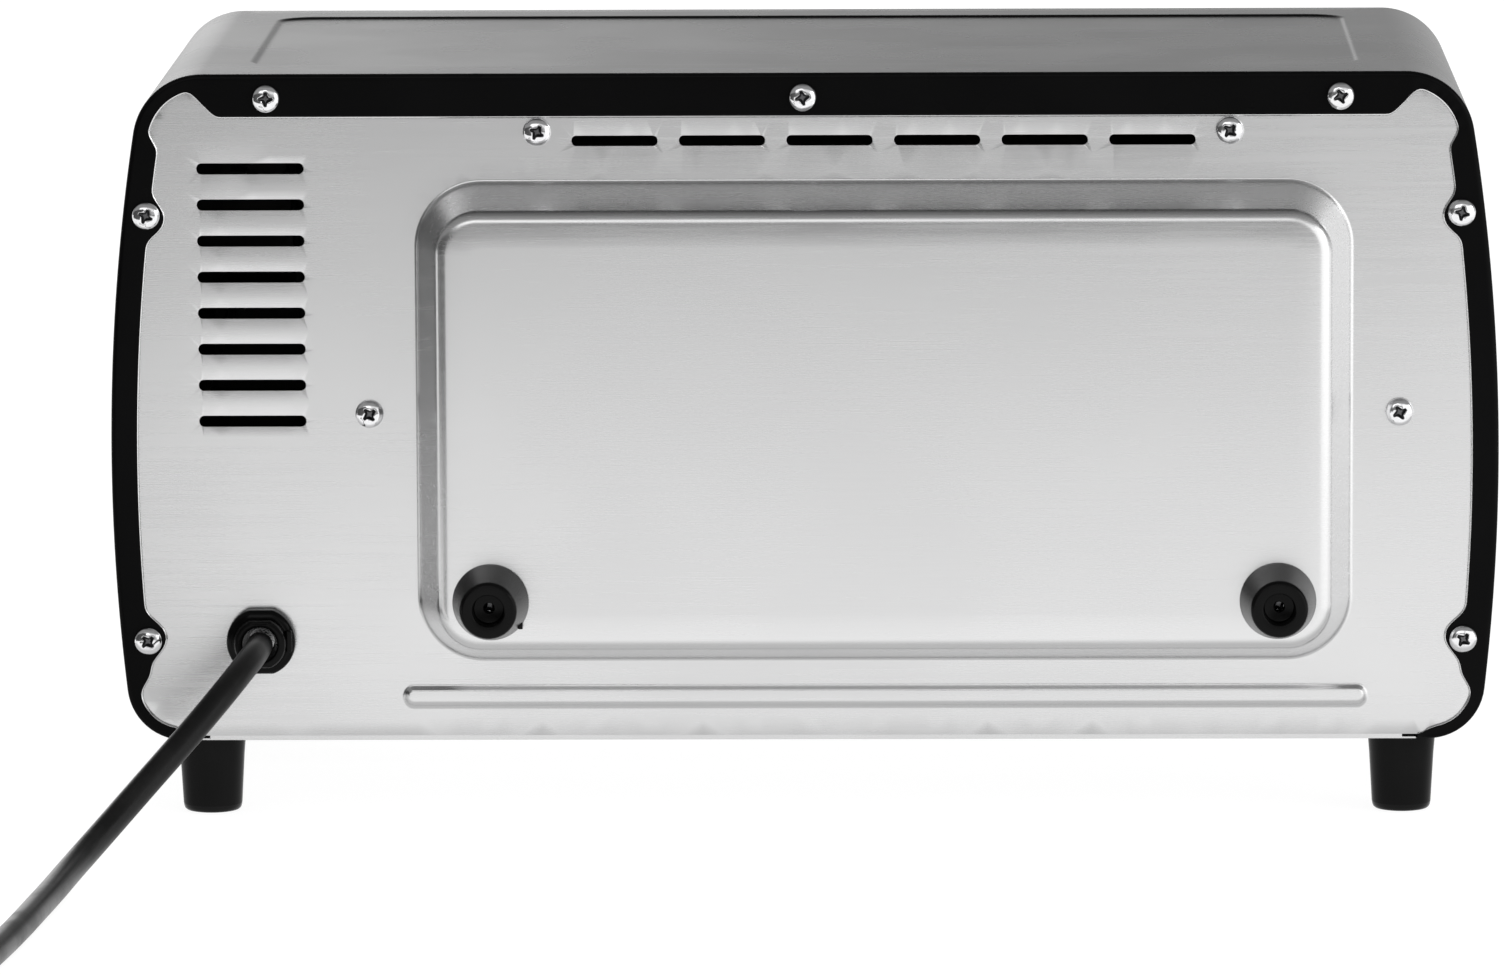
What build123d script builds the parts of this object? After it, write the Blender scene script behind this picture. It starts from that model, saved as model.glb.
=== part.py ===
from build123d import *
import math
import os

# Countertop toaster oven, modelled in millimetres.
# Frame: origin on the table at the centre of the footprint, +Z up, door facing -Y, controls at +X.

# ---------------------------------------------------------------- driving dimensions
WIDTH = 390.0              # over the bulging sides
BODY_HEIGHT = 189.0        # sheet-metal body, without the feet
FOOT_HEIGHT = 22.0
SHELL_DEPTH = 180.0        # front edge of the cover to the outer face of the back panel
FRAME_DEPTH = 4.0          # front frame in front of the cover
DOOR_DEPTH = 9.5
DOOR_GAP = 0.5
HANDLE_REACH = 32.0        # handle front beyond the door front
BUMP_HEIGHT = 22.0         # raised field pressed into the back panel
BUMPER_HEIGHT = 16.5
SHEET = 0.6

SIDE_RADIUS = 590.0        # bulge of the two sides
SIDE_CENTRE_Z = 102.0      # height at which the body is widest
TOP_CORNER = 19.5
BOTTOM_CORNER = 16.0

CAVITY_X = -22.5           # centre of the cooking chamber, left of the electrics
CAVITY_HALF = 139.0
ROOF_Z = 188.0

# ---------------------------------------------------------------- derived places
HALF = WIDTH / 2
BASE_Z = FOOT_HEIGHT
TOP_Z = BASE_Z + BODY_HEIGHT
DEPTH = HANDLE_REACH + DOOR_DEPTH + DOOR_GAP + FRAME_DEPTH + SHELL_DEPTH + BUMP_HEIGHT + BUMPER_HEIGHT
BUMPER_Y = DEPTH / 2
PLATE_Y = BUMPER_Y - BUMPER_HEIGHT
PANEL_Y = PLATE_Y - BUMP_HEIGHT
SHELL_FRONT_Y = PANEL_Y - SHELL_DEPTH
FRAME_Y = SHELL_FRONT_Y - FRAME_DEPTH
DOOR_BACK_Y = FRAME_Y - DOOR_GAP
DOOR_Y = DOOR_BACK_Y - DOOR_DEPTH
HANDLE_Y = DOOR_Y - HANDLE_REACH
FLANGE_Y = PANEL_Y + SHEET

HINGE_RADIUS = DOOR_DEPTH / 2
HINGE_Y = DOOR_BACK_Y - HINGE_RADIUS
HINGE_Z = 47.0
DOOR_HALF = 151.0          # door half width about CAVITY_X
DOOR_TOP = 197.0
ARM_OFFSET = 143.0         # door arms run outside the chamber walls
ARM_SLOT = (72.0, 96.0)

RACK_Z = 98.0
KNOB_X = 161.0
KNOB_ZS = {"temperature": 166.0, "function": 116.0, "timer": 66.0}

SCREW_HEAD_R = 4.0
SCREW_HEAD_H = 2.4
SHANK_R = 1.9
HOLE_R = 2.0

FLANGE_SCREWS = [(-150.3, 204.2), (0.0, 204.2), (150.3, 204.2), (-184.3, 171.3), (184.3, 171.3),
                 (-185.2, 50.6), (185.2, 50.6)]
PANEL_SCREWS = [(CAVITY_X + 96.9, 194.6), (CAVITY_X - 96.9, 194.6),
                (CAVITY_X + 144.6, 115.0), (CAVITY_X - 144.6, 115.0)]
BUMPER_POINTS = [(CAVITY_X + 110.0, 64.8), (CAVITY_X - 110.0, 64.8)]
FOOT_X = 168.5
FOOT_YS = {"front": SHELL_FRONT_Y + 22.0, "rear": PANEL_Y - 14.0}
GLAND_X, GLAND_Z = 153.2, 50.7

CORD_D = 7.4
CORD_R = CORD_D / 2
COIL_CENTRE = (256.0, 345.0)
COIL_MID_R = 5.5 * CORD_D  # eleven diameters across at the middle of the turns


# ---------------------------------------------------------------- helpers
def across(sketch, y0, y1):
    """Extrude a sketch drawn in (X, Z) from y0 to y1."""
    return Rot(90, 0, 0) * extrude(Pos(0, 0, -y1) * sketch, amount=y1 - y0)


def outwards(sketch, y0, y1, taper=0.0):
    """Extrude a sketch drawn in (X, -Z) from y0 towards +Y, narrowing by the taper angle."""
    return Rot(-90, 0, 0) * extrude(Pos(0, 0, y0) * sketch, amount=y1 - y0, taper=taper)


def block(x0, x1, y0, y1, z0, z1):
    """Box from its corner values."""
    return Pos((x0 + x1) / 2, (y0 + y1) / 2, (z0 + z1) / 2) * Box(x1 - x0, y1 - y0, z1 - z0)


def rod_x(x0, x1, y, z, r):
    """Round bar along X."""
    return Pos((x0 + x1) / 2, y, z) * Rot(0, 90, 0) * Cylinder(r, x1 - x0)


def rod_y(x, y0, y1, z, r):
    """Round bar along Y."""
    return Pos(x, (y0 + y1) / 2, z) * Rot(90, 0, 0) * Cylinder(r, y1 - y0)


def rod_z(x, y, z0, z1, r):
    """Round bar along Z."""
    return Pos(x, y, (z0 + z1) / 2) * Cylinder(r, z1 - z0)


def turned_y(x, z, points):
    """Solid of revolution about a Y-parallel axis; points are (radius, y)."""
    profile = make_face(Polyline(*points, close=True))
    return Pos(x, 0, z) * revolve(profile, Axis.Y)


def outline(inset=0.0):
    """Body section in (X, Z), moved inwards by inset: arched sides, flat top and bottom."""
    side = SIDE_RADIUS - inset
    top_r = TOP_CORNER - inset
    low_r = BOTTOM_CORNER - inset
    centre_x = HALF - SIDE_RADIUS
    top_z = TOP_Z - TOP_CORNER
    low_z = BASE_Z + BOTTOM_CORNER
    top_x = centre_x + math.sqrt((SIDE_RADIUS - TOP_CORNER) ** 2 - (top_z - SIDE_CENTRE_Z) ** 2)
    low_x = centre_x + math.sqrt((SIDE_RADIUS - BOTTOM_CORNER) ** 2 - (low_z - SIDE_CENTRE_Z) ** 2)

    def on_side(x, z):
        away = math.hypot(x - centre_x, z - SIDE_CENTRE_Z)
        return (centre_x + side * (x - centre_x) / away, SIDE_CENTRE_Z + side * (z - SIDE_CENTRE_Z) / away)

    def corner_middle(x, z, radius, point):
        towards = math.atan2(point[1] - z, point[0] - x)
        vertical = math.pi / 2 if point[1] > SIDE_CENTRE_Z else -math.pi / 2
        angle = (towards + vertical) / 2
        return (x + radius * math.cos(angle), z + radius * math.sin(angle))

    high = on_side(top_x, top_z)
    low = on_side(low_x, low_z)
    middle = (centre_x + side, SIDE_CENTRE_Z)
    top_mid = corner_middle(top_x, top_z, top_r, high)
    low_mid = corner_middle(low_x, low_z, low_r, low)
    flat_top = TOP_Z - inset
    flat_low = BASE_Z + inset

    def flip(point):
        return (-point[0], point[1])

    edges = [
        Line((low_x, flat_low), (-low_x, flat_low)),
        ThreePointArc((-low_x, flat_low), flip(low_mid), flip(low)),
        ThreePointArc(flip(low), flip(middle), flip(high)),
        ThreePointArc(flip(high), flip(top_mid), (-top_x, flat_top)),
        Line((-top_x, flat_top), (top_x, flat_top)),
        ThreePointArc((top_x, flat_top), top_mid, high),
        ThreePointArc(high, middle, low),
        ThreePointArc(low, low_mid, (low_x, flat_low)),
    ]
    return make_face(edges)


def side_x(z):
    """Outer half width of the body at height z, between the corners."""
    return HALF - SIDE_RADIUS + math.sqrt(SIDE_RADIUS ** 2 - (z - SIDE_CENTRE_Z) ** 2)


def mirrored(points):
    """The same sketch points on the other side of the centre line."""
    return [(-x, z) for x, z in points]


def polygon(points):
    """Flat face through points given in (X, Z)."""
    return make_face(Polyline(*points, close=True))


def holes_y(points, radius, y0, y1):
    """Round cutters along Y at points given in (X, Z)."""
    return [rod_y(x, y0, y1, z, radius) for x, z in points]


def slot_cutter(x, z, length, height, y0, y1):
    """Cutter for a round-ended slot lying along X."""
    return across(Pos(x, z) * SlotOverall(length, height), y0, y1)


def pan_screw(length, head_r=SCREW_HEAD_R, shank_r=SHANK_R):
    """Cross-recessed pan-head screw along +Z, head seat at z = 0 and shank below."""
    head = Pos(0, 0, SCREW_HEAD_H / 2) * Cylinder(head_r, SCREW_HEAD_H)
    head = fillet(head.edges().group_by(Axis.Z)[-1], SCREW_HEAD_H * 0.62)
    shank = Pos(0, 0, -length / 2) * Cylinder(shank_r, length)
    arm = Pos(0, 0, SCREW_HEAD_H) * Box(head_r * 1.05, head_r * 0.26, SCREW_HEAD_H)
    return head + shank - arm - Rot(0, 0, 90) * arm


def group(solids):
    """Several separate solids that share one node."""
    return Compound(children=[s for s in solids])


# ---------------------------------------------------------------- cover and panels
FLANGE_TOP = 12.0
FLANGE_SIDE = 7.4
FLANGE_LOBE = 4.2
FLANGE_LOW = 3.5
FLANGE_END_X = 172.5       # the cover's lower curl and flange stop here
LOBE_X = 164.6
LOW_LOBE_Z = 40.5
EAR_R = 5.2


def flange_opening():
    """Opening inside the cover's rear flange, with corner lobes and ears round the side screws."""
    main = outline(FLANGE_SIDE) & polygon([(-HALF, LOW_LOBE_Z - 6), (HALF, LOW_LOBE_Z - 6),
                                           (HALF, TOP_Z - FLANGE_TOP), (-HALF, TOP_Z - FLANGE_TOP)])
    lobe_z = TOP_Z - FLANGE_TOP
    lobe = [(LOBE_X - 9, lobe_z - 9), (LOBE_X, lobe_z), (LOBE_X + 14, lobe_z + 14), (HALF, lobe_z + 14),
            (HALF, lobe_z + 6), (181.0, lobe_z - 7.5)]
    low = [(150, LOW_LOBE_Z), (side_x(LOW_LOBE_Z) - FLANGE_SIDE, LOW_LOBE_Z), (HALF + 8, 16.0), (150, 16.0)]
    face = main + (outline(FLANGE_LOBE) & (polygon(lobe) + polygon(mirrored(lobe))))
    face += outline(FLANGE_LOW) & (polygon(low) + polygon(mirrored(low)))
    face += Pos(0, LOW_LOBE_Z - 14) * Rectangle(2 * FLANGE_END_X, 30)
    run = EAR_R * math.sqrt(0.5)
    for x, z in FLANGE_SCREWS[3:]:
        out = 12.0 * (1 if x > 0 else -1)
        inner = x - run * (1 if x > 0 else -1)
        wedge = polygon([(inner, z - run), (inner, z + run), (inner + out, z + run + 12.0),
                         (inner + out, z - run - 12.0)])
        face -= wedge + Pos(x, z) * Circle(EAR_R)
    return face


RECESS_DEPTH = 1.1
RECESS_HALF_X = 156.5
RECESS_FRONT_Y = SHELL_FRONT_Y + 19.0
RECESS_REAR_Y = PANEL_Y - 24.0
RECESS_CORNER = 11.0


def make_wrap_cover():
    """One painted sheet over the top and both sides, with a rear flange and a shallow top recess."""
    outer = across(outline(), SHELL_FRONT_Y, FLANGE_Y)
    outer = fillet(outer.edges().group_by(Axis.Y)[-1], 1.2)
    inner = across(outline(SHEET), SHELL_FRONT_Y, PANEL_Y)
    inner = fillet(inner.edges().group_by(Axis.Y)[-1], 0.6)
    cover = outer - inner - across(flange_opening(), PANEL_Y - 1, FLANGE_Y + 1)
    cover -= block(-FLANGE_END_X, FLANGE_END_X, SHELL_FRONT_Y - 1, FLANGE_Y + 1, BASE_Z - 1, BASE_Z + 12)
    centre_y = (RECESS_FRONT_Y + RECESS_REAR_Y) / 2
    length = RECESS_REAR_Y - RECESS_FRONT_Y
    seat = Pos(0, centre_y) * RectangleRounded(2 * RECESS_HALF_X, length, RECESS_CORNER)
    pad = Pos(0, centre_y) * RectangleRounded(2 * RECESS_HALF_X + 2 * SHEET, length + 2 * SHEET,
                                              RECESS_CORNER + SHEET)
    dish = extrude(Pos(0, 0, TOP_Z) * seat, amount=-RECESS_DEPTH, taper=30)
    cover += extrude(Pos(0, 0, TOP_Z - SHEET) * pad, amount=-RECESS_DEPTH, taper=30)
    return cover - dish - holes_y(FLANGE_SCREWS, HOLE_R, PANEL_Y - 1, FLANGE_Y + 1)


BUMP_WIDTH = 261.6
BUMP_TALL = 135.0
BUMP_Z = 112.8
BUMP_CORNER = 18.0
BUMP_TAPER = 19.5
BUMP_BEND = 2.6
BEAD_Z = 34.4
BEAD_LENGTH = 271.0
BEAD_WIDTH = 5.8
BEAD_HEIGHT = 1.9
SIDE_SLOTS = 8
SIDE_SLOT_X = 155.0
SIDE_SLOT_TOP = 184.4
SIDE_SLOT_PITCH = 10.2
TOP_SLOTS = 6
TOP_SLOT_Z = 192.0
TOP_SLOT_PITCH = 30.1


def slots():
    """Centres and sizes of the vent slots: a column beside the electrics and a row over the chamber."""
    column = [(SIDE_SLOT_X, SIDE_SLOT_TOP - i * SIDE_SLOT_PITCH, 30.0, 3.0) for i in range(SIDE_SLOTS)]
    first = CAVITY_X - TOP_SLOT_PITCH * (TOP_SLOTS - 1) / 2
    row = [(first + i * TOP_SLOT_PITCH, TOP_SLOT_Z, 24.0, 2.8) for i in range(TOP_SLOTS)]
    return column + row


def make_back_panel():
    """Bare steel back with a raised field, a stiffening bead, vent slots and screw holes."""
    below = BASE_Z + SHEET
    sheet = across(outline(1.4) - Pos(0, below - 10) * Rectangle(WIDTH, 20), PANEL_Y - SHEET, PANEL_Y)
    field = RectangleRounded(BUMP_WIDTH, BUMP_TALL, BUMP_CORNER)
    hollow = RectangleRounded(BUMP_WIDTH - 1.3, BUMP_TALL - 1.3, BUMP_CORNER - 0.6)
    at = Pos(CAVITY_X, -BUMP_Z)
    raised = outwards(at * field, PANEL_Y - SHEET, PLATE_Y, BUMP_TAPER)
    raised = fillet(raised.edges().group_by(Axis.Y)[-1], BUMP_BEND)
    inside = outwards(at * hollow, PANEL_Y - SHEET, PLATE_Y - SHEET, BUMP_TAPER)
    inside = fillet(inside.edges().group_by(Axis.Y)[-1], BUMP_BEND - SHEET)
    bead_at = Pos(CAVITY_X, -BEAD_Z)
    bead = outwards(bead_at * SlotOverall(BEAD_LENGTH, BEAD_WIDTH), PANEL_Y - SHEET, PANEL_Y + BEAD_HEIGHT, 25)
    groove = outwards(bead_at * SlotOverall(BEAD_LENGTH - 1.5, BEAD_WIDTH - 1.5), PANEL_Y - SHEET,
                      PANEL_Y + BEAD_HEIGHT - SHEET, 25)
    panel = sheet + raised + bead - inside - groove
    for x, z, length, height in slots():
        panel -= slot_cutter(x, z, length, height, PANEL_Y - 2, PANEL_Y + 2)
    panel -= holes_y(FLANGE_SCREWS + PANEL_SCREWS, HOLE_R, PANEL_Y - 2, PANEL_Y + 2)
    panel -= holes_y(BUMPER_POINTS, HOLE_R, PLATE_Y - 2, PLATE_Y + 2)
    return panel - holes_y([(GLAND_X, GLAND_Z)], 7.6, PANEL_Y - 2, PANEL_Y + 2)


BASE_Y0 = SHELL_FRONT_Y + 0.5
BASE_Y1 = PANEL_Y - SHEET


FOOT_SEAT = 14.0


def feet_points():
    """Foot names and centres."""
    return {f"foot_{end}_{side}": (sign * FOOT_X, y) for end, y in FOOT_YS.items()
            for side, sign in (("left", -1), ("right", 1))}


def foot_screw_x(x):
    """Foot screws stand a little inwards of the foot's centre, clear of the floor sheet's edge."""
    return x - math.copysign(1.5, x)


def make_base_panel():
    """Floor sheet with vent slots under the electrics and a turned-up edge at the back."""
    half = FLANGE_END_X - 0.3
    base = block(-half, half, BASE_Y0, BASE_Y1, BASE_Z, BASE_Z + SHEET)
    base += block(-half + 4, half - 4, BASE_Y1 - SHEET, BASE_Y1, BASE_Z, BASE_Z + 9)
    for row in range(5):
        slot = Pos(146.0, -30.0 + 18.0 * row, BASE_Z) * extrude(SlotOverall(30, 3.2), amount=2, both=True)
        base -= slot
    for x, y in feet_points().values():
        base -= rod_z(foot_screw_x(x), y, BASE_Z - 1, BASE_Z + 2, HOLE_R)
    return base


def make_foot(x, y):
    """Tapered moulded foot with a deep recess for its screw."""
    profile = polygon([(0, 0), (7.0, 0), (7.9, 0.9), (8.75, BASE_Z), (0, BASE_Z)])
    foot = Pos(x, y, 0) * revolve(Plane.XZ * profile, Axis.Z)
    screw_x = foot_screw_x(x)
    return foot - rod_z(screw_x, y, -1, FOOT_SEAT, 4.3) - rod_z(screw_x, y, 0, BASE_Z + 1, HOLE_R)


def make_foot_screws():
    """Four screws that come up through the feet into the floor sheet."""
    screws = []
    for x, y in feet_points().values():
        screws.append(Pos(foot_screw_x(x), y, FOOT_SEAT) * Rot(180, 0, 0) * pan_screw(13.0))
    return group(screws)


def screws_y(points, seat_y, length):
    """Screws driven towards -Y with their head seats at seat_y."""
    return group([Pos(x, seat_y, z) * Rot(-90, 0, 0) * pan_screw(length) for x, z in points])


def make_wall_bumper(x, z):
    """Hollow cone that keeps the hot back off the wall."""
    points = [(HOLE_R, PLATE_Y), (10.7, PLATE_Y), (7.8, BUMPER_Y - 0.6), (7.2, BUMPER_Y), (4.4, BUMPER_Y),
              (4.2, PLATE_Y + 4.0), (HOLE_R, PLATE_Y + 4.0)]
    return turned_y(x, z, points)


GLAND_OUT = PANEL_Y + 9.0


def make_cord_gland():
    """Strain-relief bushing closed round the lead: flanged outside with two flats."""
    points = [(0, PANEL_Y - 9), (6.8, PANEL_Y - 9), (7.5, PANEL_Y - 5), (7.5, PANEL_Y), (9.5, PANEL_Y),
              (9.5, PANEL_Y + 5), (8.4, GLAND_OUT - 1.4), (7.0, GLAND_OUT), (0, GLAND_OUT)]
    gland = turned_y(GLAND_X, GLAND_Z, points)
    for sign in (-1, 1):
        low = GLAND_Z + sign * 8.6
        gland -= block(GLAND_X - 12, GLAND_X + 12, PANEL_Y, GLAND_OUT + 1, min(low, low + sign * 4),
                       max(low, low + sign * 4))
    return gland


# ---------------------------------------------------------------- front
OPEN_HALF = 137.0
OPEN_LOW = 52.0
OPEN_HIGH = 184.0
TRAY_HALF = 133.0
TRAY_SLOT = (25.5, 41.0)
BAY_X = (137.0, 185.0)
BAY_Z = (36.0, 198.0)


def cavity_span(half):
    """Left and right X at a half width about the chamber's centre."""
    return CAVITY_X - half, CAVITY_X + half


def make_front_frame():
    """Front frame: plate and inner rim, open for the door, the crumb tray and the controls."""
    plate = across(outline(0.4), FRAME_Y, SHELL_FRONT_Y)
    plate = fillet(plate.edges().group_by(Axis.Y)[0], 1.2)
    rim = across(outline(0.9) - outline(2.1), SHELL_FRONT_Y, SHELL_FRONT_Y + 8)
    rim -= block(-HALF, HALF, SHELL_FRONT_Y, SHELL_FRONT_Y + 9, BASE_Z, BASE_Z + 3)
    frame = plate + rim
    left, right = cavity_span(OPEN_HALF)
    hole = Pos((left + right) / 2, (OPEN_LOW + OPEN_HIGH) / 2) * RectangleRounded(right - left,
                                                                              OPEN_HIGH - OPEN_LOW, 6)
    frame -= across(hole, FRAME_Y - 1, SHELL_FRONT_Y + 1)
    left, right = cavity_span(TRAY_HALF)
    frame -= block(left, right, FRAME_Y - 1, SHELL_FRONT_Y + 1, *TRAY_SLOT)
    frame -= block(*BAY_X, FRAME_Y - 1, SHELL_FRONT_Y + 1, *BAY_Z)
    for x in cavity_span(ARM_OFFSET):
        frame -= block(x - 1.6, x + 1.6, FRAME_Y - 1, SHELL_FRONT_Y + 1, *ARM_SLOT)
    return frame


FASCIA_LEFT = 134.5
FASCIA_Y = DOOR_Y + 1.2
FASCIA_WALL = 2.2
LAMP_Z = 194.0


def fascia_face(inset):
    """Fascia outline: straight beside the door, following the body's outer edge."""
    return outline(1.4 + inset) & polygon([(FASCIA_LEFT + inset, BASE_Z), (HALF, BASE_Z), (HALF, TOP_Z),
                                           (FASCIA_LEFT + inset, TOP_Z)])


def make_control_panel():
    """Hollow fascia that carries the three knobs and the lamp lens."""
    shell = across(fascia_face(0.0), FASCIA_Y, FRAME_Y)
    shell = fillet(shell.edges().group_by(Axis.Y)[0], 1.0)
    shell -= across(fascia_face(FASCIA_WALL), FASCIA_Y + FASCIA_WALL, FRAME_Y + 1)
    for z in KNOB_ZS.values():
        shell -= rod_y(KNOB_X, FASCIA_Y - 1, FASCIA_Y + 4, z, 4.0)
    return shell - rod_y(KNOB_X, FASCIA_Y - 1, FASCIA_Y + 4, LAMP_Z, 3.1)


def make_knob_trim_rings():
    """Thin dial rings round the three knobs."""
    rings = []
    for z in KNOB_ZS.values():
        ring = rod_y(KNOB_X, FASCIA_Y - 0.8, FASCIA_Y, z, 22.0)
        ring = fillet(ring.edges().group_by(Axis.Y)[0], 0.5)
        rings.append(ring - rod_y(KNOB_X, FASCIA_Y - 2, FASCIA_Y + 1, z, 19.2))
    return group(rings)


KNOB_R = 17.5
KNOB_BACK_Y = FASCIA_Y - 0.8
KNOB_DEPTH = 17.0


def make_knob(z):
    """Round knob with a raised grip bar and a blind bore for its shaft."""
    skirt = rod_y(KNOB_X, KNOB_BACK_Y - 6, KNOB_BACK_Y, z, KNOB_R)
    skirt = fillet(skirt.edges().group_by(Axis.Y)[0], 2.0)
    grip = block(KNOB_X - 4.0, KNOB_X + 4.0, KNOB_BACK_Y - KNOB_DEPTH, KNOB_BACK_Y - 4, z - 15.2, z + 15.2)
    grip = fillet(grip.edges().group_by(Axis.Y)[0], 1.6)
    return skirt + grip - rod_y(KNOB_X, KNOB_BACK_Y - 11, KNOB_BACK_Y + 1, z, 3.0)


CONTROL_Y = FRAME_Y + 2.0


def make_knob_shaft(z):
    """Metal spindle from the switch body into the knob."""
    return rod_y(KNOB_X, KNOB_BACK_Y - 10.5, CONTROL_Y + 8, z, 2.9)


def control_body(z, half_x, half_z, depth):
    """Switch body with a round nose that carries the spindle."""
    body = block(KNOB_X - half_x, KNOB_X + half_x, CONTROL_Y, CONTROL_Y + depth, z - half_z, z + half_z)
    body = fillet(body.edges().filter_by(Axis.Y), 3.0)
    nose = rod_y(KNOB_X, FASCIA_Y + FASCIA_WALL + 0.4, CONTROL_Y, z, 5.0)
    return body + nose - rod_y(KNOB_X, FASCIA_Y, CONTROL_Y + 9, z, 2.95)


def make_thermostat():
    """Thermostat block with its bimetal blade stack and terminals."""
    z = KNOB_ZS["temperature"]
    body = control_body(z, 13, 14, 22)
    for side in (-1, 1):
        body += block(KNOB_X + side * 8 - 2.4, KNOB_X + side * 8 + 2.4, CONTROL_Y + 21, CONTROL_Y + 32, z - 0.4,
                      z + 0.4)
    return body


def make_function_switch():
    """Rotary selector with four terminals."""
    z = KNOB_ZS["function"]
    body = control_body(z, 16, 16, 18)
    for side in (-1, 1):
        for high in (-9, 9):
            body += block(KNOB_X + side * 9 - 2.4, KNOB_X + side * 9 + 2.4, CONTROL_Y + 17, CONTROL_Y + 28,
                          z + high - 0.4, z + high + 0.4)
    return body


def make_timer():
    """Clockwork timer case."""
    body = control_body(KNOB_ZS["timer"], 20, 20, 30)
    return body + rod_y(KNOB_X, CONTROL_Y + 29, CONTROL_Y + 33, KNOB_ZS["timer"], 4.0)


def make_timer_bell():
    """Small steel bell on the back of the timer."""
    z = KNOB_ZS["timer"]
    back = CONTROL_Y + 33.0
    points = [(0, back), (16, back), (17.5, back + 2), (17.5, back + 9), (16.7, back + 9), (16.7, back + 2.4),
              (15.6, back + 0.8), (0, back + 0.8)]
    return turned_y(KNOB_X, z, points)


def make_lamp():
    """Neon lamp in its clip behind the lens."""
    bulb = rod_y(KNOB_X, FASCIA_Y + 4.0, FASCIA_Y + 22, LAMP_Z, 2.6)
    return bulb + rod_y(KNOB_X, FASCIA_Y + 18, FASCIA_Y + 26, LAMP_Z, 3.6)


def make_lamp_lens():
    """Clear red lens pressed into the fascia."""
    lens = rod_y(KNOB_X, FASCIA_Y - 1.2, FASCIA_Y, LAMP_Z, 4.2)
    lens = fillet(lens.edges().group_by(Axis.Y)[0], 0.9)
    return lens + rod_y(KNOB_X, FASCIA_Y, FASCIA_Y + 3.6, LAMP_Z, 3.0)


# ---------------------------------------------------------------- door
WINDOW_HALF = 128.0
WINDOW_Z = (64.0, 178.0)
GLASS_LIP = 6.0
GLASS_THICK = 4.0
HANDLE_Z = 190.5
HANDLE_HALF = 112.0
HANDLE_R = 7.5
POST_OFFSET = 92.0
PIN_R = 2.5
PIN_BORE = 2.55


def door_slab():
    """Door blank: a plate whose lower edge is round about the hinge axis."""
    left, right = cavity_span(DOOR_HALF)
    slab = block(left, right, DOOR_Y, DOOR_BACK_Y, HINGE_Z, DOOR_TOP)
    slab = fillet(slab.edges().filter_by(Axis.Y), 3.0)
    slab = slab + block(left, right, DOOR_Y, DOOR_BACK_Y, HINGE_Z, HINGE_Z + 10)
    return slab + rod_x(left, right, HINGE_Y, HINGE_Z, HINGE_RADIUS)


def make_door_frame():
    """Door frame with a window rebate, handle bolt holes and hinge bores."""
    left, right = cavity_span(WINDOW_HALF)
    tall = WINDOW_Z[1] - WINDOW_Z[0]
    middle = (WINDOW_Z[0] + WINDOW_Z[1]) / 2
    door = door_slab()
    door -= across(Pos(CAVITY_X, middle) * RectangleRounded(right - left, tall, 8), DOOR_Y - 1, DOOR_BACK_Y + 1)
    rebate = RectangleRounded(right - left + 2 * GLASS_LIP + 0.6, tall + 2 * GLASS_LIP + 0.6, 6)
    door -= across(Pos(CAVITY_X, middle) * rebate, DOOR_BACK_Y - GLASS_THICK - 2.0, DOOR_BACK_Y + 1)
    for side in (-1, 1):
        x = CAVITY_X + side * POST_OFFSET
        door -= rod_y(x, DOOR_Y - 1, DOOR_BACK_Y + 1, HANDLE_Z, HOLE_R)
        door -= rod_y(x, DOOR_BACK_Y - 2.6, DOOR_BACK_Y + 1, HANDLE_Z, 4.6)
        end = CAVITY_X + side * DOOR_HALF
        door -= rod_x(min(end, end - side * 13), max(end, end - side * 13), HINGE_Y, HINGE_Z, PIN_BORE)
    return door


def make_door_glass():
    """Toughened window pane in the door's rebate."""
    tall = WINDOW_Z[1] - WINDOW_Z[0]
    pane = Pos(CAVITY_X, sum(WINDOW_Z) / 2) * RectangleRounded(2 * (WINDOW_HALF + GLASS_LIP),
                                                              tall + 2 * GLASS_LIP, 5.7)
    back = DOOR_BACK_Y - 2.0
    return across(pane, back - GLASS_THICK, back)


def make_glass_clips():
    """Spring clips that hold the pane from behind, above and below."""
    clips = []
    back = DOOR_BACK_Y - 2.0
    for x in (CAVITY_X - 80, CAVITY_X, CAVITY_X + 80):
        for edge, side in ((WINDOW_Z[0] - GLASS_LIP - 0.3, 1), (WINDOW_Z[1] + GLASS_LIP + 0.3, -1)):
            z0, z1 = sorted((edge + side * 0.05, edge + side * 5.5))
            clips.append(block(x - 9, x + 9, back, back + 0.8, z0, z1))
    return group(clips)


def make_handle_posts():
    """Two moulded posts between the door and the bar."""
    posts = []
    for side in (-1, 1):
        x = CAVITY_X + side * POST_OFFSET
        points = [(0, DOOR_Y), (10.0, DOOR_Y), (9.0, DOOR_Y - 5), (7.6, DOOR_Y - 14),
                  (7.6, HANDLE_Y + HANDLE_R), (0, HANDLE_Y + HANDLE_R)]
        post = turned_y(x, HANDLE_Z, points)
        post -= rod_x(x - 20, x + 20, HANDLE_Y + HANDLE_R, HANDLE_Z, HANDLE_R)
        posts.append(post - rod_y(x, DOOR_Y - 15, DOOR_Y + 1, HANDLE_Z, SHANK_R))
    return group(posts)


def make_handle_bar():
    """Tubular handle bar with closed round ends."""
    bar = rod_x(CAVITY_X - HANDLE_HALF, CAVITY_X + HANDLE_HALF, HANDLE_Y + HANDLE_R, HANDLE_Z, HANDLE_R)
    return fillet(bar.edges(), 2.4)


def make_handle_screws():
    """Two screws from inside the door into the posts."""
    points = [(CAVITY_X + side * POST_OFFSET, HANDLE_Z) for side in (-1, 1)]
    screws = []
    for x, z in points:
        screws.append(Pos(x, DOOR_BACK_Y - 2.6, z) * Rot(-90, 0, 0) * pan_screw(21.0))
    return group(screws)


ARM_R = 40.0
ARM_THICK = 1.2


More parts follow.
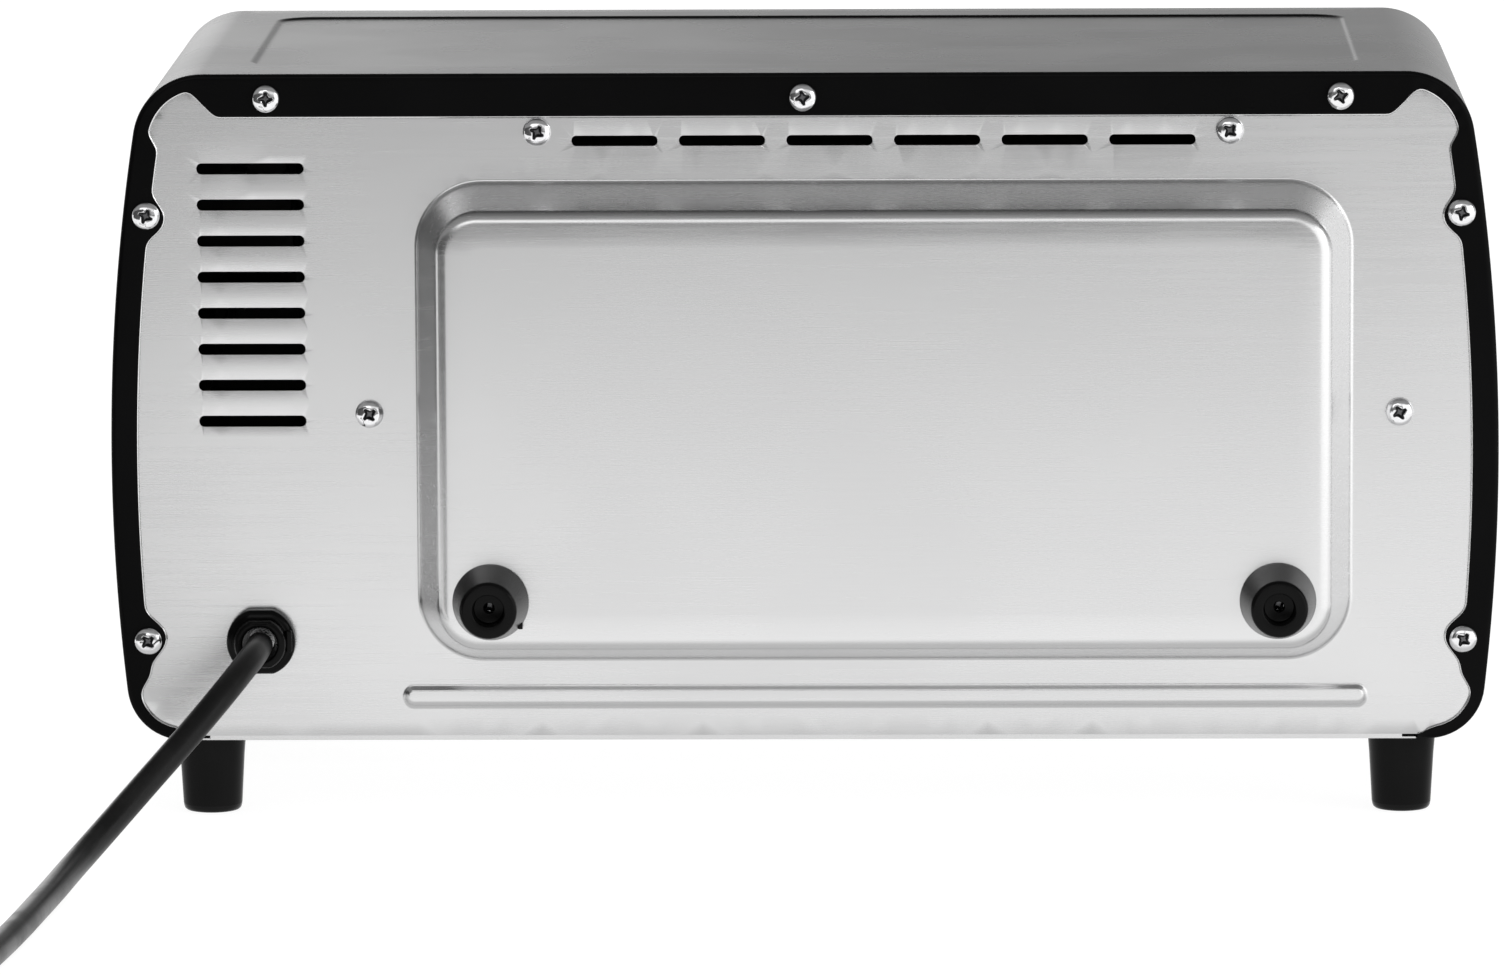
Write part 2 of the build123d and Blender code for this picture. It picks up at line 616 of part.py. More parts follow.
def door_arm(x):
    """Quadrant strip, centred on the hinge axis, that swings through a slot in the front frame."""
    ring = Circle(ARM_R + 3) - Circle(ARM_R - 3)
    reach = 80.0

    def ray(angle):
        return (reach * math.cos(math.radians(angle)), reach * math.sin(math.radians(angle)))

    sector = polygon([(0, 0), ray(-18), ray(30), ray(60), ray(81)])
    strip = ring & sector
    foot_y = DOOR_BACK_Y - HINGE_Y
    strip += polygon([(foot_y, ARM_R - 12), (foot_y + 0.6, ARM_R - 12), (foot_y + 6.0, ARM_R - 4),
                      (foot_y + 6.0, ARM_R + 2), (foot_y + 3.0, ARM_R + 4), (foot_y, ARM_R + 4)])
    strip -= Pos(*[0.5 * v for v in ray(-11)]) * Circle(1.4)
    solid = extrude(strip, amount=ARM_THICK / 2, both=True)
    return Pos(x, HINGE_Y, HINGE_Z) * (Plane.YZ * solid)


def hinge_bracket(side):
    """Ear on the front frame that holds one hinge pin."""
    x0 = CAVITY_X + side * (DOOR_HALF + 0.5)
    x1 = x0 + side * 2.4
    ear = block(min(x0, x1), max(x0, x1), HINGE_Y, FRAME_Y, HINGE_Z - 5, HINGE_Z + 5)
    ear += rod_x(min(x0, x1), max(x0, x1), HINGE_Y, HINGE_Z, 5.0)
    return ear - rod_x(min(x0, x1) - 1, max(x0, x1) + 1, HINGE_Y, HINGE_Z, PIN_R)


def make_hinge_pins():
    """Two pins, fixed in the brackets, on which the door turns."""
    pins = []
    for side in (-1, 1):
        inner = CAVITY_X + side * (DOOR_HALF - 12)
        outer = CAVITY_X + side * (DOOR_HALF + 3.4)
        pins.append(rod_x(min(inner, outer), max(inner, outer), HINGE_Y, HINGE_Z, PIN_R))
    return group(pins)


SPRING_HOOK = (HINGE_Y + ARM_R * math.cos(math.radians(-11)), HINGE_Z + ARM_R * math.sin(math.radians(-11)))
SPRING_ANCHOR_Y = 22.0


def make_door_springs():
    """Tension springs from the arms to the chamber walls, as closed sleeves of the coil's outer size."""
    springs = []
    for side in (-1, 1):
        x = CAVITY_X + side * (ARM_OFFSET + 4.6)
        y0 = SPRING_HOOK[0] + 8
        y1 = SPRING_ANCHOR_Y - 8
        sleeve = rod_y(x, y0, y1, SPRING_HOOK[1], 3.2)
        sleeve += rod_y(x, y0 - 6, y0, SPRING_HOOK[1], 0.8) + rod_y(x, y1, y1 + 6, SPRING_HOOK[1], 0.8)
        springs.append(sleeve)
    return group(springs)


# ---------------------------------------------------------------- cooking chamber
WALL_Y0 = SHELL_FRONT_Y + 0.4
WALL_Y1 = PANEL_Y - SHEET
HEATER_R = 3.2
HEATER_ZS = {"top": 177.0, "bottom": 52.0}
HEATER_YS = {"front": -38.0, "rear": 46.0}


def heater_points():
    """Heater names and their (Y, Z) places."""
    return {f"heater_{level}_{end}": (y, z) for level, z in HEATER_ZS.items() for end, y in HEATER_YS.items()}


def make_cavity_wall(side):
    """Side wall of the chamber with a rear flange, heater holes and a spring anchor tab."""
    x = CAVITY_X + side * CAVITY_HALF
    x0, x1 = sorted((x, x + side * SHEET))
    wall = block(x0, x1, WALL_Y0, WALL_Y1, BASE_Z + SHEET, ROOF_Z)
    wall -= block(x0 - 1, x1 + 1, WALL_Y1 - SHEET - 0.1, WALL_Y1 + 1, BASE_Z, BASE_Z + 10)
    f0, f1 = sorted((x, x + side * 11.0))
    wall += block(f0, f1, WALL_Y1 - SHEET, WALL_Y1, BASE_Z + 12, ROOF_Z - 4)
    tab0, tab1 = sorted((x, x + side * 10.0))
    wall += block(tab0, tab1, SPRING_ANCHOR_Y - 1.2, SPRING_ANCHOR_Y, SPRING_HOOK[1] - 5, SPRING_HOOK[1] + 5)
    for y, z in heater_points().values():
        wall -= rod_x(x - 5, x + 5, y, z, 5.0)
    screw = CAVITY_X + side * 144.6
    return wall - rod_y(screw, WALL_Y1 - 2, WALL_Y1 + 1, 115.0, HOLE_R)


def make_cavity_roof():
    """Chamber roof with turned-up screw ears at the back."""
    left, right = cavity_span(CAVITY_HALF + SHEET)
    roof = block(left, right, WALL_Y0, WALL_Y1, ROOF_Z, ROOF_Z + SHEET)
    for x, z in PANEL_SCREWS[:2]:
        ear = block(x - 7, x + 7, WALL_Y1 - SHEET, WALL_Y1, ROOF_Z, z + 6)
        roof += ear - rod_y(x, WALL_Y1 - 2, WALL_Y1 + 1, z, HOLE_R)
    for step in range(-2, 3):
        roof -= Pos(CAVITY_X + 44.0 * step, 4.0, ROOF_Z) * extrude(SlotOverall(28, 5), amount=2, both=True)
    return roof


def make_heater(y, z):
    """Straight heating rod with thinner terminal pins."""
    left, right = cavity_span(CAVITY_HALF + 1.5)
    tube = rod_x(left, right, y, z, HEATER_R)
    return tube + rod_x(left - 9, right + 9, y, z, 1.5)


def make_heater_insulators():
    """Ceramic bushes that carry the rods in the chamber walls."""
    bushes = []
    for side in (-1, 1):
        wall = CAVITY_X + side * CAVITY_HALF
        for y, z in heater_points().values():
            collar = sorted((wall + side * SHEET, wall + side * 4.5))
            neck = sorted((wall - side * 2.5, wall + side * SHEET))
            bush = rod_x(*collar, y, z, 7.0) + rod_x(*neck, y, z, 4.9)
            bore = sorted((wall - side * 4, wall + side * 1.5))
            pin = sorted((wall + side * 1.5, wall + side * 6))
            bushes.append(bush - rod_x(*bore, y, z, HEATER_R) - rod_x(*pin, y, z, 1.5))
    return group(bushes)


RAIL_DROP = 3.4


def make_rack_rails():
    """Two formed steel channels, one on each wall, that guide the rack's side wires."""
    rails = []
    for side in (-1, 1):
        wall = CAVITY_X + side * CAVITY_HALF
        x0, x1 = sorted((wall, wall - side * 7.0))
        rail = block(x0, x1, WALL_Y0 + 8, WALL_Y1 - 8, RACK_Z - RAIL_DROP, RACK_Z - RAIL_DROP + 1.0)
        rail += block(x0, x1, WALL_Y0 + 8, WALL_Y1 - 8, RACK_Z + RAIL_DROP - 1.0, RACK_Z + RAIL_DROP)
        w0, w1 = sorted((wall, wall - side * 1.0))
        rails.append(rail + block(w0, w1, WALL_Y0 + 8, WALL_Y1 - 8, RACK_Z - RAIL_DROP, RACK_Z + RAIL_DROP))
    return group(rails)


RACK_HALF = CAVITY_HALF - 4.0
RACK_Y = (SHELL_FRONT_Y + 10.0, PANEL_Y - 12.0)
RACK_WIRE_R = 1.9
BAR_WIRE_R = 1.3


def make_wire_rack():
    """Welded wire rack: a frame, cross bars and two front hooks."""
    left, right = cavity_span(RACK_HALF)
    y0, y1 = RACK_Y
    path = FilletPolyline((left, y0), (right, y0), (right, y1), (left, y1), close=True, radius=9.0)
    section = Plane(origin=path @ 0.1, z_dir=path % 0.1) * Circle(RACK_WIRE_R)
    rack = Pos(0, 0, RACK_Z) * sweep(section, path=path)
    for side in (-1, 0, 1):
        rack += rod_x(left + 1, right - 1, (y0 + y1) / 2 + side * 58.0, RACK_Z - 0.6, RACK_WIRE_R - 0.4)
    count = 17
    for i in range(count):
        x = left + (right - left) * (i + 1) / (count + 1)
        rack += rod_y(x, y0, y1, RACK_Z + 1.4, BAR_WIRE_R)
    for side in (-1, 1):
        x = CAVITY_X + side * 70.0
        rack += rod_y(x, y0 - 6, y0 + 1, RACK_Z, BAR_WIRE_R) + rod_z(x, y0 - 6, RACK_Z - 5, RACK_Z + 1.3,
                                                                       BAR_WIRE_R)
    return rack


TRAY_FLOOR = 26.8
TRAY_TOP = 34.0
TRAY_FRONT = FRAME_Y - 8.0


def make_crumb_tray():
    """Shallow tray on the floor sheet with a lip and a finger grip at the front."""
    left, right = cavity_span(TRAY_HALF - 1.0)
    tray = block(left, right, FRAME_Y - 1.5, PANEL_Y - 8, TRAY_FLOOR - 0.6, TRAY_TOP)
    tray -= block(left + 0.6, right - 0.6, FRAME_Y - 0.9, PANEL_Y - 8.6, TRAY_FLOOR, TRAY_TOP + 1)
    tray += block(left - 4, right + 4, FRAME_Y - 1.5, FRAME_Y - 0.5, TRAY_FLOOR - 1.0, 41.0)
    grip = block(CAVITY_X - 32, CAVITY_X + 32, TRAY_FRONT, FRAME_Y - 1.0, 33.0, 35.0)
    grip = fillet(grip.edges().group_by(Axis.Y)[0], 0.9)
    return tray + grip


def make_tray_runners():
    """Two guide strips on the floor sheet that the crumb tray slides on."""
    runners = []
    for x in cavity_span(TRAY_HALF - 12.0):
        runners.append(block(x - 5, x + 5, WALL_Y0 + 6, PANEL_Y - 12, BASE_Z + SHEET, TRAY_FLOOR - 0.6 - 0.3))
    return group(runners)


# ---------------------------------------------------------------- electrics
def make_heat_shield():
    """Sheet between the hot chamber wall and the electrics."""
    x = CAVITY_X + ARM_OFFSET + 9.5
    shield = block(x, x + SHEET, WALL_Y0 + 12, WALL_Y1 - 6, BASE_Z + SHEET, ROOF_Z + 8)
    return shield + block(x, x + 3.5, WALL_Y0 + 12, WALL_Y1 - 6, BASE_Z + SHEET, BASE_Z + 2 * SHEET)


def make_terminal_block():
    """Ceramic terminal block near the cord entry."""
    body = block(134, 170, 58, 74, BASE_Z + SHEET, BASE_Z + SHEET + 14)
    body = fillet(body.edges().filter_by(Axis.Z), 2.0)
    for x in (140, 152, 164):
        body -= rod_z(x, 66, BASE_Z + 9, BASE_Z + 20, 2.6)
    return body


def make_thermal_fuse():
    """Thermal cut-out clamped against the heat shield."""
    x = CAVITY_X + ARM_OFFSET + 9.5 + SHEET
    return rod_x(x, x + 6, 20, 150, 9.0) + rod_x(x + 6, x + 11, 20, 150, 4.0)


def round_path(points, radii):
    """Straight runs joined by tangent arcs."""
    return FilletPolyline(*points, radius=radii)


def bend_radii(points, least):
    """Arc at each corner: 0.45 of the shorter run over the tangent of half the turn."""
    radii = []
    for before, at, after in zip(points, points[1:], points[2:]):
        first = Vector(*at) - Vector(*before)
        second = Vector(*after) - Vector(*at)
        turn = math.radians(first.get_angle(second))
        radii.append(max(least, 0.45 * min(first.length, second.length) / math.tan(turn / 2)))
    return radii


def round_tube(points, radius, least=0.5):
    """Tube of one radius along straight runs and tangent arcs, with its path length and arcs."""
    radii = bend_radii(points, least)
    path = round_path(points, radii)
    section = Plane(origin=path @ 0, z_dir=path % 0) * Circle(radius)
    return sweep(section, path=path), path.length, radii


def make_internal_wires():
    """Insulated leads between the terminal block, the controls and the heaters."""
    x = KNOB_X
    runs = [
        [(140, 70, 38), (140, 40, 60), (145, 0, 100), (153, CONTROL_Y + 33.5, 172)],
        [(164, 70, 38), (176, 40, 58), (182, -10, 90), (170, CONTROL_Y + 29.5, 129)],
        [(152, CONTROL_Y + 29.5, 111), (140, -20, 96), (137.5, 18, 120), (141.5, 20, 140)],
    ]
    return group([round_tube(points, 1.3)[0] for points in runs])


# ---------------------------------------------------------------- power cord
CORD_POINTS = [
    (GLAND_X, GLAND_OUT, GLAND_Z),
    (153.2, 111.8, 50.7),
    (154.5, 120.6, 49.6),
    (157.0, 129.3, 47.0),
    (160.7, 137.5, 43.0),
    (166.4, 146.0, 36.8),
    (173.2, 156.0, 29.8),
    (180.4, 167.0, 22.6),
    (187.4, 179.0, 15.6),
    (193.6, 193.0, 9.7),
    (198.2, 209.0, 5.9),
    (201.1, 229.0, 4.1),
    (203.5, 254.0, 3.7),
    (205.9, 284.0, 3.7),
    (208.8, 313.0, 3.7),
    (COIL_CENTRE[0] - COIL_MID_R - CORD_R, COIL_CENTRE[1] - 8.0, 3.7),
]
COIL_LIFT = 1.0
COIL_TALL = 1.9 * CORD_D
COIL_WIDE = 2 * CORD_D


def make_cord_coil():
    """Outer shape of the tied coil: a flat round-cornered ring."""
    section = Pos(COIL_MID_R, COIL_LIFT + COIL_TALL / 2) * RectangleRounded(COIL_WIDE, COIL_TALL, CORD_R - 0.1)
    return Pos(*COIL_CENTRE, 0) * revolve(Plane.XZ * section, Axis.Z)


TIE_ANGLE = 60.0


def make_cord_tie():
    """Strap closed round the coil."""
    inner_w, inner_h = COIL_WIDE + 1.0, COIL_TALL + 0.2
    ring = RectangleRounded(inner_w + 1.6, inner_h + 1.6, 4.4) - RectangleRounded(inner_w, inner_h, 3.7)
    strap = Rot(90, 0, 0) * extrude(ring, amount=5.0, both=True)
    strap = Pos(COIL_MID_R, 0, COIL_LIFT + COIL_TALL / 2) * strap
    return Pos(*COIL_CENTRE, 0) * Rot(0, 0, TIE_ANGLE) * strap


PLUG_X = COIL_CENTRE[0] + COIL_MID_R + CORD_R
PLUG_Z = 11.4
PLUG_Y = COIL_CENTRE[1] - 34.0
PLUG_LENGTH = 36.0


def make_plug_body():
    """Moulded plug lying beside the coil, with a tapered tail."""
    body = block(PLUG_X - 13, PLUG_X + 13, PLUG_Y - PLUG_LENGTH, PLUG_Y, PLUG_Z - 11, PLUG_Z + 11)
    body = fillet(body.edges().filter_by(Axis.Y), 6.0)
    body = fillet(body.edges().group_by(Axis.Y)[-1], 3.0)
    tail = turned_y(PLUG_X, PLUG_Z, [(0, PLUG_Y - 2), (8.5, PLUG_Y - 2), (5.2, PLUG_Y + 24), (0, PLUG_Y + 24)])
    return body + tail


def make_plug_pins():
    """Two flat blades and one round earth pin."""
    face = PLUG_Y - PLUG_LENGTH
    pins = [block(PLUG_X + side * 6.35 - 0.75, PLUG_X + side * 6.35 + 0.75, face - 16, face, PLUG_Z + 0.4,
                  PLUG_Z + 6.7) for side in (-1, 1)]
    earth = rod_y(PLUG_X, face - 18.5, face, PLUG_Z - 6.0, 2.4)
    earth = fillet(earth.edges().group_by(Axis.Y)[0], 1.2)
    return group(pins + [earth])


# ---------------------------------------------------------------- assembly
def build_nodes():
    """All nodes of the oven, by name."""
    nodes = {
        "wrap_cover": make_wrap_cover(),
        "back_panel": make_back_panel(),
        "base_panel": make_base_panel(),
        "front_frame": make_front_frame(),
        "control_panel": make_control_panel(),
        "knob_trim_rings": make_knob_trim_rings(),
        "cavity_wall_left": make_cavity_wall(-1),
        "cavity_wall_right": make_cavity_wall(1),
        "cavity_roof": make_cavity_roof(),
        "heater_insulators": make_heater_insulators(),
        "rack_rails": make_rack_rails(),
        "tray_runners": make_tray_runners(),
        "heat_shield": make_heat_shield(),
        "thermostat": make_thermostat(),
        "function_switch": make_function_switch(),
        "timer": make_timer(),
        "timer_bell": make_timer_bell(),
        "indicator_lamp": make_lamp(),
        "indicator_lens": make_lamp_lens(),
        "terminal_block": make_terminal_block(),
        "thermal_fuse": make_thermal_fuse(),
        "internal_wires": make_internal_wires(),
        "rear_flange_screws": screws_y(FLANGE_SCREWS, FLANGE_Y, 7.0),
        "back_panel_screws": screws_y(PANEL_SCREWS, PANEL_Y, 7.0),
        "bumper_screws": screws_y(BUMPER_POINTS, PLATE_Y + 4.0, 9.0),
        "foot_screws": make_foot_screws(),
        "cord_gland": make_cord_gland(),
        "cord_coil": make_cord_coil(),
        "cord_tie": make_cord_tie(),
        "plug_body": make_plug_body(),
        "plug_pins": make_plug_pins(),
        "hinge_brackets": group([hinge_bracket(-1), hinge_bracket(1)]),
        "hinge_pins": make_hinge_pins(),
        "door_springs": make_door_springs(),
        "door_frame": make_door_frame(),
        "door_glass": make_door_glass(),
        "glass_clips": make_glass_clips(),
        "door_arms": group([door_arm(x) for x in cavity_span(ARM_OFFSET)]),
        "handle_posts": make_handle_posts(),
        "handle_bar": make_handle_bar(),
        "handle_screws": make_handle_screws(),
        "wire_rack": make_wire_rack(),
        "crumb_tray": make_crumb_tray(),
    }
    cord, length, radii = round_tube(CORD_POINTS, CORD_R)
    nodes["power_cord"] = cord
    print("cord path", round(length, 1), "radii", [round(r, 1) for r in radii])
    print("cord volume over section times length", round(cord.volume / (math.pi * CORD_R ** 2 * length), 4))
    for name, (x, z) in zip(("wall_bumper_right", "wall_bumper_left"), BUMPER_POINTS):
        nodes[name] = make_wall_bumper(x, z)
    for name, (x, y) in feet_points().items():
        nodes[name] = make_foot(x, y)
    for name, (y, z) in heater_points().items():
        nodes[name] = make_heater(y, z)
    for name, z in KNOB_ZS.items():
        nodes[f"{name}_knob"] = make_knob(z)
        nodes[f"{name}_shaft"] = make_knob_shaft(z)
    return nodes


def main():
    """Write one STEP file for each node."""
    os.makedirs("parts", exist_ok=True)
    for name, shape in build_nodes().items():
        export_step(shape, f"parts/{name}.step")


main()
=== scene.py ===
"""Looks of a countertop toaster oven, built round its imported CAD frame, in metres."""
import logging
import math
from collections.abc import Callable, Iterable, Sequence
from dataclasses import dataclass, field
from enum import Enum

import bmesh
import bpy
import numpy as np
from mathutils import Matrix, Vector, noise
from mathutils.geometry import delaunay_2d_cdt
from mathutils.kdtree import KDTree


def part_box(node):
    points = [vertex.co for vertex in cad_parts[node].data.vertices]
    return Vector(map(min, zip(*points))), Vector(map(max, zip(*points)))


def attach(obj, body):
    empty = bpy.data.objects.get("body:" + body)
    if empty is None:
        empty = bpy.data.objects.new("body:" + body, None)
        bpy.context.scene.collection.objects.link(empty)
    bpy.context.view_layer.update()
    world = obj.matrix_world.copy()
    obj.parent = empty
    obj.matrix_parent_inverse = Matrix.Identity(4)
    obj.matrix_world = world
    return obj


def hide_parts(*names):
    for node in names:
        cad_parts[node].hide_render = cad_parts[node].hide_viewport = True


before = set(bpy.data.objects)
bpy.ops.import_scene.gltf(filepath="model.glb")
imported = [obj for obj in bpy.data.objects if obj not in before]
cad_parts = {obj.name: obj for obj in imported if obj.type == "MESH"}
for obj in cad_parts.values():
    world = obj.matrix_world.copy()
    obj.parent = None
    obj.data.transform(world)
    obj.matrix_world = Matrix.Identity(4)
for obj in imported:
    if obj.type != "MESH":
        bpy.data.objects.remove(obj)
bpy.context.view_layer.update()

log = logging.getLogger("toaster_oven")

Flat = tuple[float, float]
Point = tuple[float, float, float]
Colour = tuple[float, float, float]
Placer = Callable[[float, float], Point]

MM = 0.001
MERGE = 0.004              # points nearer than this, in millimetres, are one point
SHEET = 0.6                # thickness of the body's sheet metal, in millimetres
BEVEL_ABOVE = 38           # edges that turn more than this many degrees get a bevel
FULL_TURN = 2 * math.pi
QUARTER = math.pi / 2


# ================================================================ drawing helpers
def span(node: str) -> tuple[Vector, Vector]:
    """Lowest and highest corner of a CAD node, in millimetres."""
    low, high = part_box(node)
    return low / MM, high / MM


def centre(node: str) -> Point:
    """Middle of a CAD node's box, in millimetres."""
    low, high = span(node)
    return tuple((a + b) / 2 for a, b in zip(low, high))


def arc(centre: Flat, radius: float, start: float, end: float, steps: int) -> list[Flat]:
    """Points along a circular arc."""
    angles = [start + (end - start) * i / steps for i in range(steps + 1)]
    return [(centre[0] + radius * math.cos(a), centre[1] + radius * math.sin(a)) for a in angles]


def line(start: Flat, end: Flat, steps: int) -> list[Flat]:
    """Points along a straight line."""
    shares = [i / steps for i in range(1, steps)]
    return [(start[0] + (end[0] - start[0]) * t, start[1] + (end[1] - start[1]) * t) for t in shares]


def rounded_loop(centre: Flat, size: Flat, radius: float, steps: int = 8, runs: Flat = (1, 1)) -> list[Flat]:
    """Closed loop round a rectangle with round corners.

    Args:
        centre: Middle of the rectangle.
        size: Its width and height.
        radius: Corner radius.
        steps: Pieces in each corner.
        runs: Pieces in each horizontal and each upright side.

    Returns:
        The points in counter-clockwise order.
    """
    x, z = size[0] / 2 - radius, size[1] / 2 - radius
    loop: list[Flat] = []
    for turn, (sx, sz) in enumerate(((1, 1), (-1, 1), (-1, -1), (1, -1))):
        middle = (centre[0] + sx * x, centre[1] + sz * z)
        corner = arc(middle, radius, turn * QUARTER, (turn + 1) * QUARTER, steps)
        if loop:
            loop += line(loop[-1], corner[0], runs[(turn + 1) % 2])
        loop += corner
    return loop + line(loop[-1], loop[0], runs[1])


def circle(centre: Flat, radius: float, steps: int) -> list[Flat]:
    """Closed circle of that many points."""
    return arc(centre, radius, 0, FULL_TURN, steps)[:-1]


def facing(y: float) -> Placer:
    """Places a flat drawing in the X-Z plane at that Y."""
    return lambda x, z: (x, y, z)


def level(z: float) -> Placer:
    """Places a flat drawing in the X-Y plane at that Z."""
    return lambda x, y: (x, y, z)


def axis_y(x: float, z: float, start: float, sign: int = 1) -> Matrix:
    """Frame of a turned part whose axis runs along Y (or -Y) from start."""
    turn = Matrix.Rotation(-sign * QUARTER, 4, "X")
    return Matrix.Translation((x, start, z)) @ turn


def axis_x(x: float, y: float, z: float) -> Matrix:
    """Frame of a turned part whose axis runs along X from a point."""
    return Matrix.Translation((x, y, z)) @ Matrix.Rotation(QUARTER, 4, "Y")


class Draft:
    """A mesh drawn in millimetres that ends as one piece in metres."""

    def __init__(self) -> None:
        """Starts an empty drawing."""
        self.bm = bmesh.new()
        self.slot = 0

    def face(self, corners: Iterable[bmesh.types.BMVert]) -> None:
        """Adds one face, leaving out repeated corners.

        Args:
            corners: Its mesh points in order.
        """
        kept = list(dict.fromkeys(corners))
        if len(kept) < 3 or self.bm.faces.get(kept):
            return
        made = self.bm.faces.new(kept)
        made.material_index = self.slot
        made.smooth = True

    def ring(self, points: Iterable[Point]) -> list[bmesh.types.BMVert]:
        """Adds a row of points."""
        return [self.bm.verts.new(p) for p in points]

    def bridge(self, first: list, second: list, closed: bool = True) -> None:
        """Joins two rows of equal length with four-sided faces.

        Args:
            first: One row.
            second: The other row.
            closed: Whether each row ends where it starts.
        """
        count = len(first)
        for i in range(count if closed else count - 1):
            j = (i + 1) % count
            self.face((first[i], first[j], second[j], second[i]))

    def skin(self, rows: Sequence[Iterable[Point]], closed: bool = True) -> list[list]:
        """Adds rows of points and joins each to the next.

        Args:
            rows: Rows of equal length.
            closed: Whether each row ends where it starts.

        Returns:
            The rows as mesh points.
        """
        made = [self.ring(row) for row in rows]
        for first, second in zip(made, made[1:]):
            self.bridge(first, second, closed)
        return made

    def fill(self, loops: Sequence[Sequence[Flat]], place: Placer, spacing: float = 0.0) -> None:
        """Fills the area inside the first loop and outside the others.

        Args:
            loops: The outer edge, then the holes.
            place: Puts a flat point into space.
            spacing: Distance between extra points inside, or 0 for none.
        """
        flat: list[Vector] = []
        edges: list[tuple[int, int]] = []
        for loop in loops:
            first, count = len(flat), len(loop)
            flat += [Vector(p) for p in loop]
            edges += [(first + i, first + (i + 1) % count) for i in range(count)]
        if spacing:
            flat += self._grid(flat, spacing)
        spots, _, faces, *_ = delaunay_2d_cdt(flat, edges, [], 0, 1e-6)
        made = self.ring(place(spot.x, spot.y) for spot in spots)
        for corners, kept in zip(faces, self._between(spots, faces, loops)):
            if kept:
                self.face(made[i] for i in corners)

    @staticmethod
    def _between(spots: Sequence[Vector], faces: Sequence[Sequence[int]],
                 loops: Sequence[Sequence[Flat]]) -> list[bool]:
        """Tells for each triangle whether an odd number of loops goes round it.

        Args:
            spots: Corners of the triangles.
            faces: The indices of each triangle's corners.
            loops: Closed loops of points.

        Returns:
            One answer for each triangle.
        """
        places = np.array([(s.x, s.y) for s in spots])
        middles = places[np.array([list(f) for f in faces])].mean(axis=1)
        odd = np.zeros(len(middles), bool)
        batch = 2000
        for loop in loops:
            here = np.array(loop, float)
            on = np.roll(here, -1, axis=0)
            for start in range(0, len(middles), batch):
                some = slice(start, start + batch)
                x, y = middles[some, :1], middles[some, 1:]
                spans = (here[:, 1] > y) != (on[:, 1] > y)
                rise = np.where(on[:, 1] == here[:, 1], 1.0, on[:, 1] - here[:, 1])
                cut = here[:, 0] + (y - here[:, 1]) * (on[:, 0] - here[:, 0]) / rise
                odd[some] ^= (np.logical_and(spans, x < cut).sum(axis=1) % 2).astype(bool)
        return odd.tolist()

    @staticmethod
    def _grid(edge: Sequence[Vector], spacing: float) -> list[Vector]:
        """Grid points over the edge's box that keep clear of the edge.

        Args:
            edge: Points of the edge.
            spacing: Distance between grid points.

        Returns:
            The grid points.
        """
        tree = KDTree(len(edge))
        for i, spot in enumerate(edge):
            tree.insert((spot.x, spot.y, 0), i)
        tree.balance()
        low = Vector((min(s.x for s in edge), min(s.y for s in edge)))
        high = Vector((max(s.x for s in edge), max(s.y for s in edge)))
        across, up = (int((high - low)[k] / spacing) for k in (0, 1))
        cells = [(i + 0.5 * (j % 2), j) for i in range(1, across) for j in range(1, up)]
        spots = [low + Vector(cell) * spacing for cell in cells]
        clear = 0.55 * spacing
        return [s for s in spots if tree.find((s.x, s.y, 0))[2] > clear]

    def lathe(self, profile: Sequence[Flat], place: Matrix, count: int = 48,
              shape: Callable[[float, float], float] | None = None) -> None:
        """Turns a profile round the local Z axis.

        Args:
            profile: Pairs of radius and height.
            place: Frame of the turned part.
            count: Points round the axis.
            shape: Optional factor on the radius from the angle and the height.
        """
        rows = []
        for radius, height in profile:
            if radius < MERGE:
                rows.append([self.bm.verts.new(place @ Vector((0, 0, height)))] * count)
                continue
            row = []
            for i in range(count):
                angle = FULL_TURN * i / count
                reach = radius * (shape(angle, height) if shape else 1.0)
                row.append(place @ Vector((reach * math.cos(angle), reach * math.sin(angle), height)))
            rows.append(self.ring(row))
        for first, second in zip(rows, rows[1:]):
            self.bridge(first, second)

    def tube(self, path: Sequence[Point], radius: float, count: int = 12, closed: bool = False) -> None:
        """Round wire along a path.

        Args:
            path: Points along the middle of the wire.
            radius: Radius of the wire.
            count: Points round the wire.
            closed: Whether the path returns to its start.
        """
        spots = [Vector(p) for p in path]
        last = len(spots) - 1
        side = Vector((0, 0, 1))
        rows = []
        for i, spot in enumerate(spots):
            before = spots[i - 1] if i or closed else spot
            after = spots[(i + 1) % len(spots)] if i < last or closed else spot
            ahead = (after - before).normalized()
            side = side - ahead * side.dot(ahead)
            side = side.normalized() if side.length > 0.1 else ahead.orthogonal().normalized()
            other = ahead.cross(side)
            rows.append([spot + (side * math.cos(FULL_TURN * k / count)
                                 + other * math.sin(FULL_TURN * k / count)) * radius for k in range(count)])
        made = self.skin(rows)
        if closed:
            self.bridge(made[-1], made[0])
            return
        ends = ((made[0], spots[0], spots[0] - spots[1]), (made[-1], spots[-1], spots[-1] - spots[-2]))
        for ring, end, outward in ends:
            inner = self.ring(end + outward.normalized() * radius * 0.3 + (v.co - end) * 0.7 for v in ring)
            self.bridge(ring, inner)
            self.face(inner)

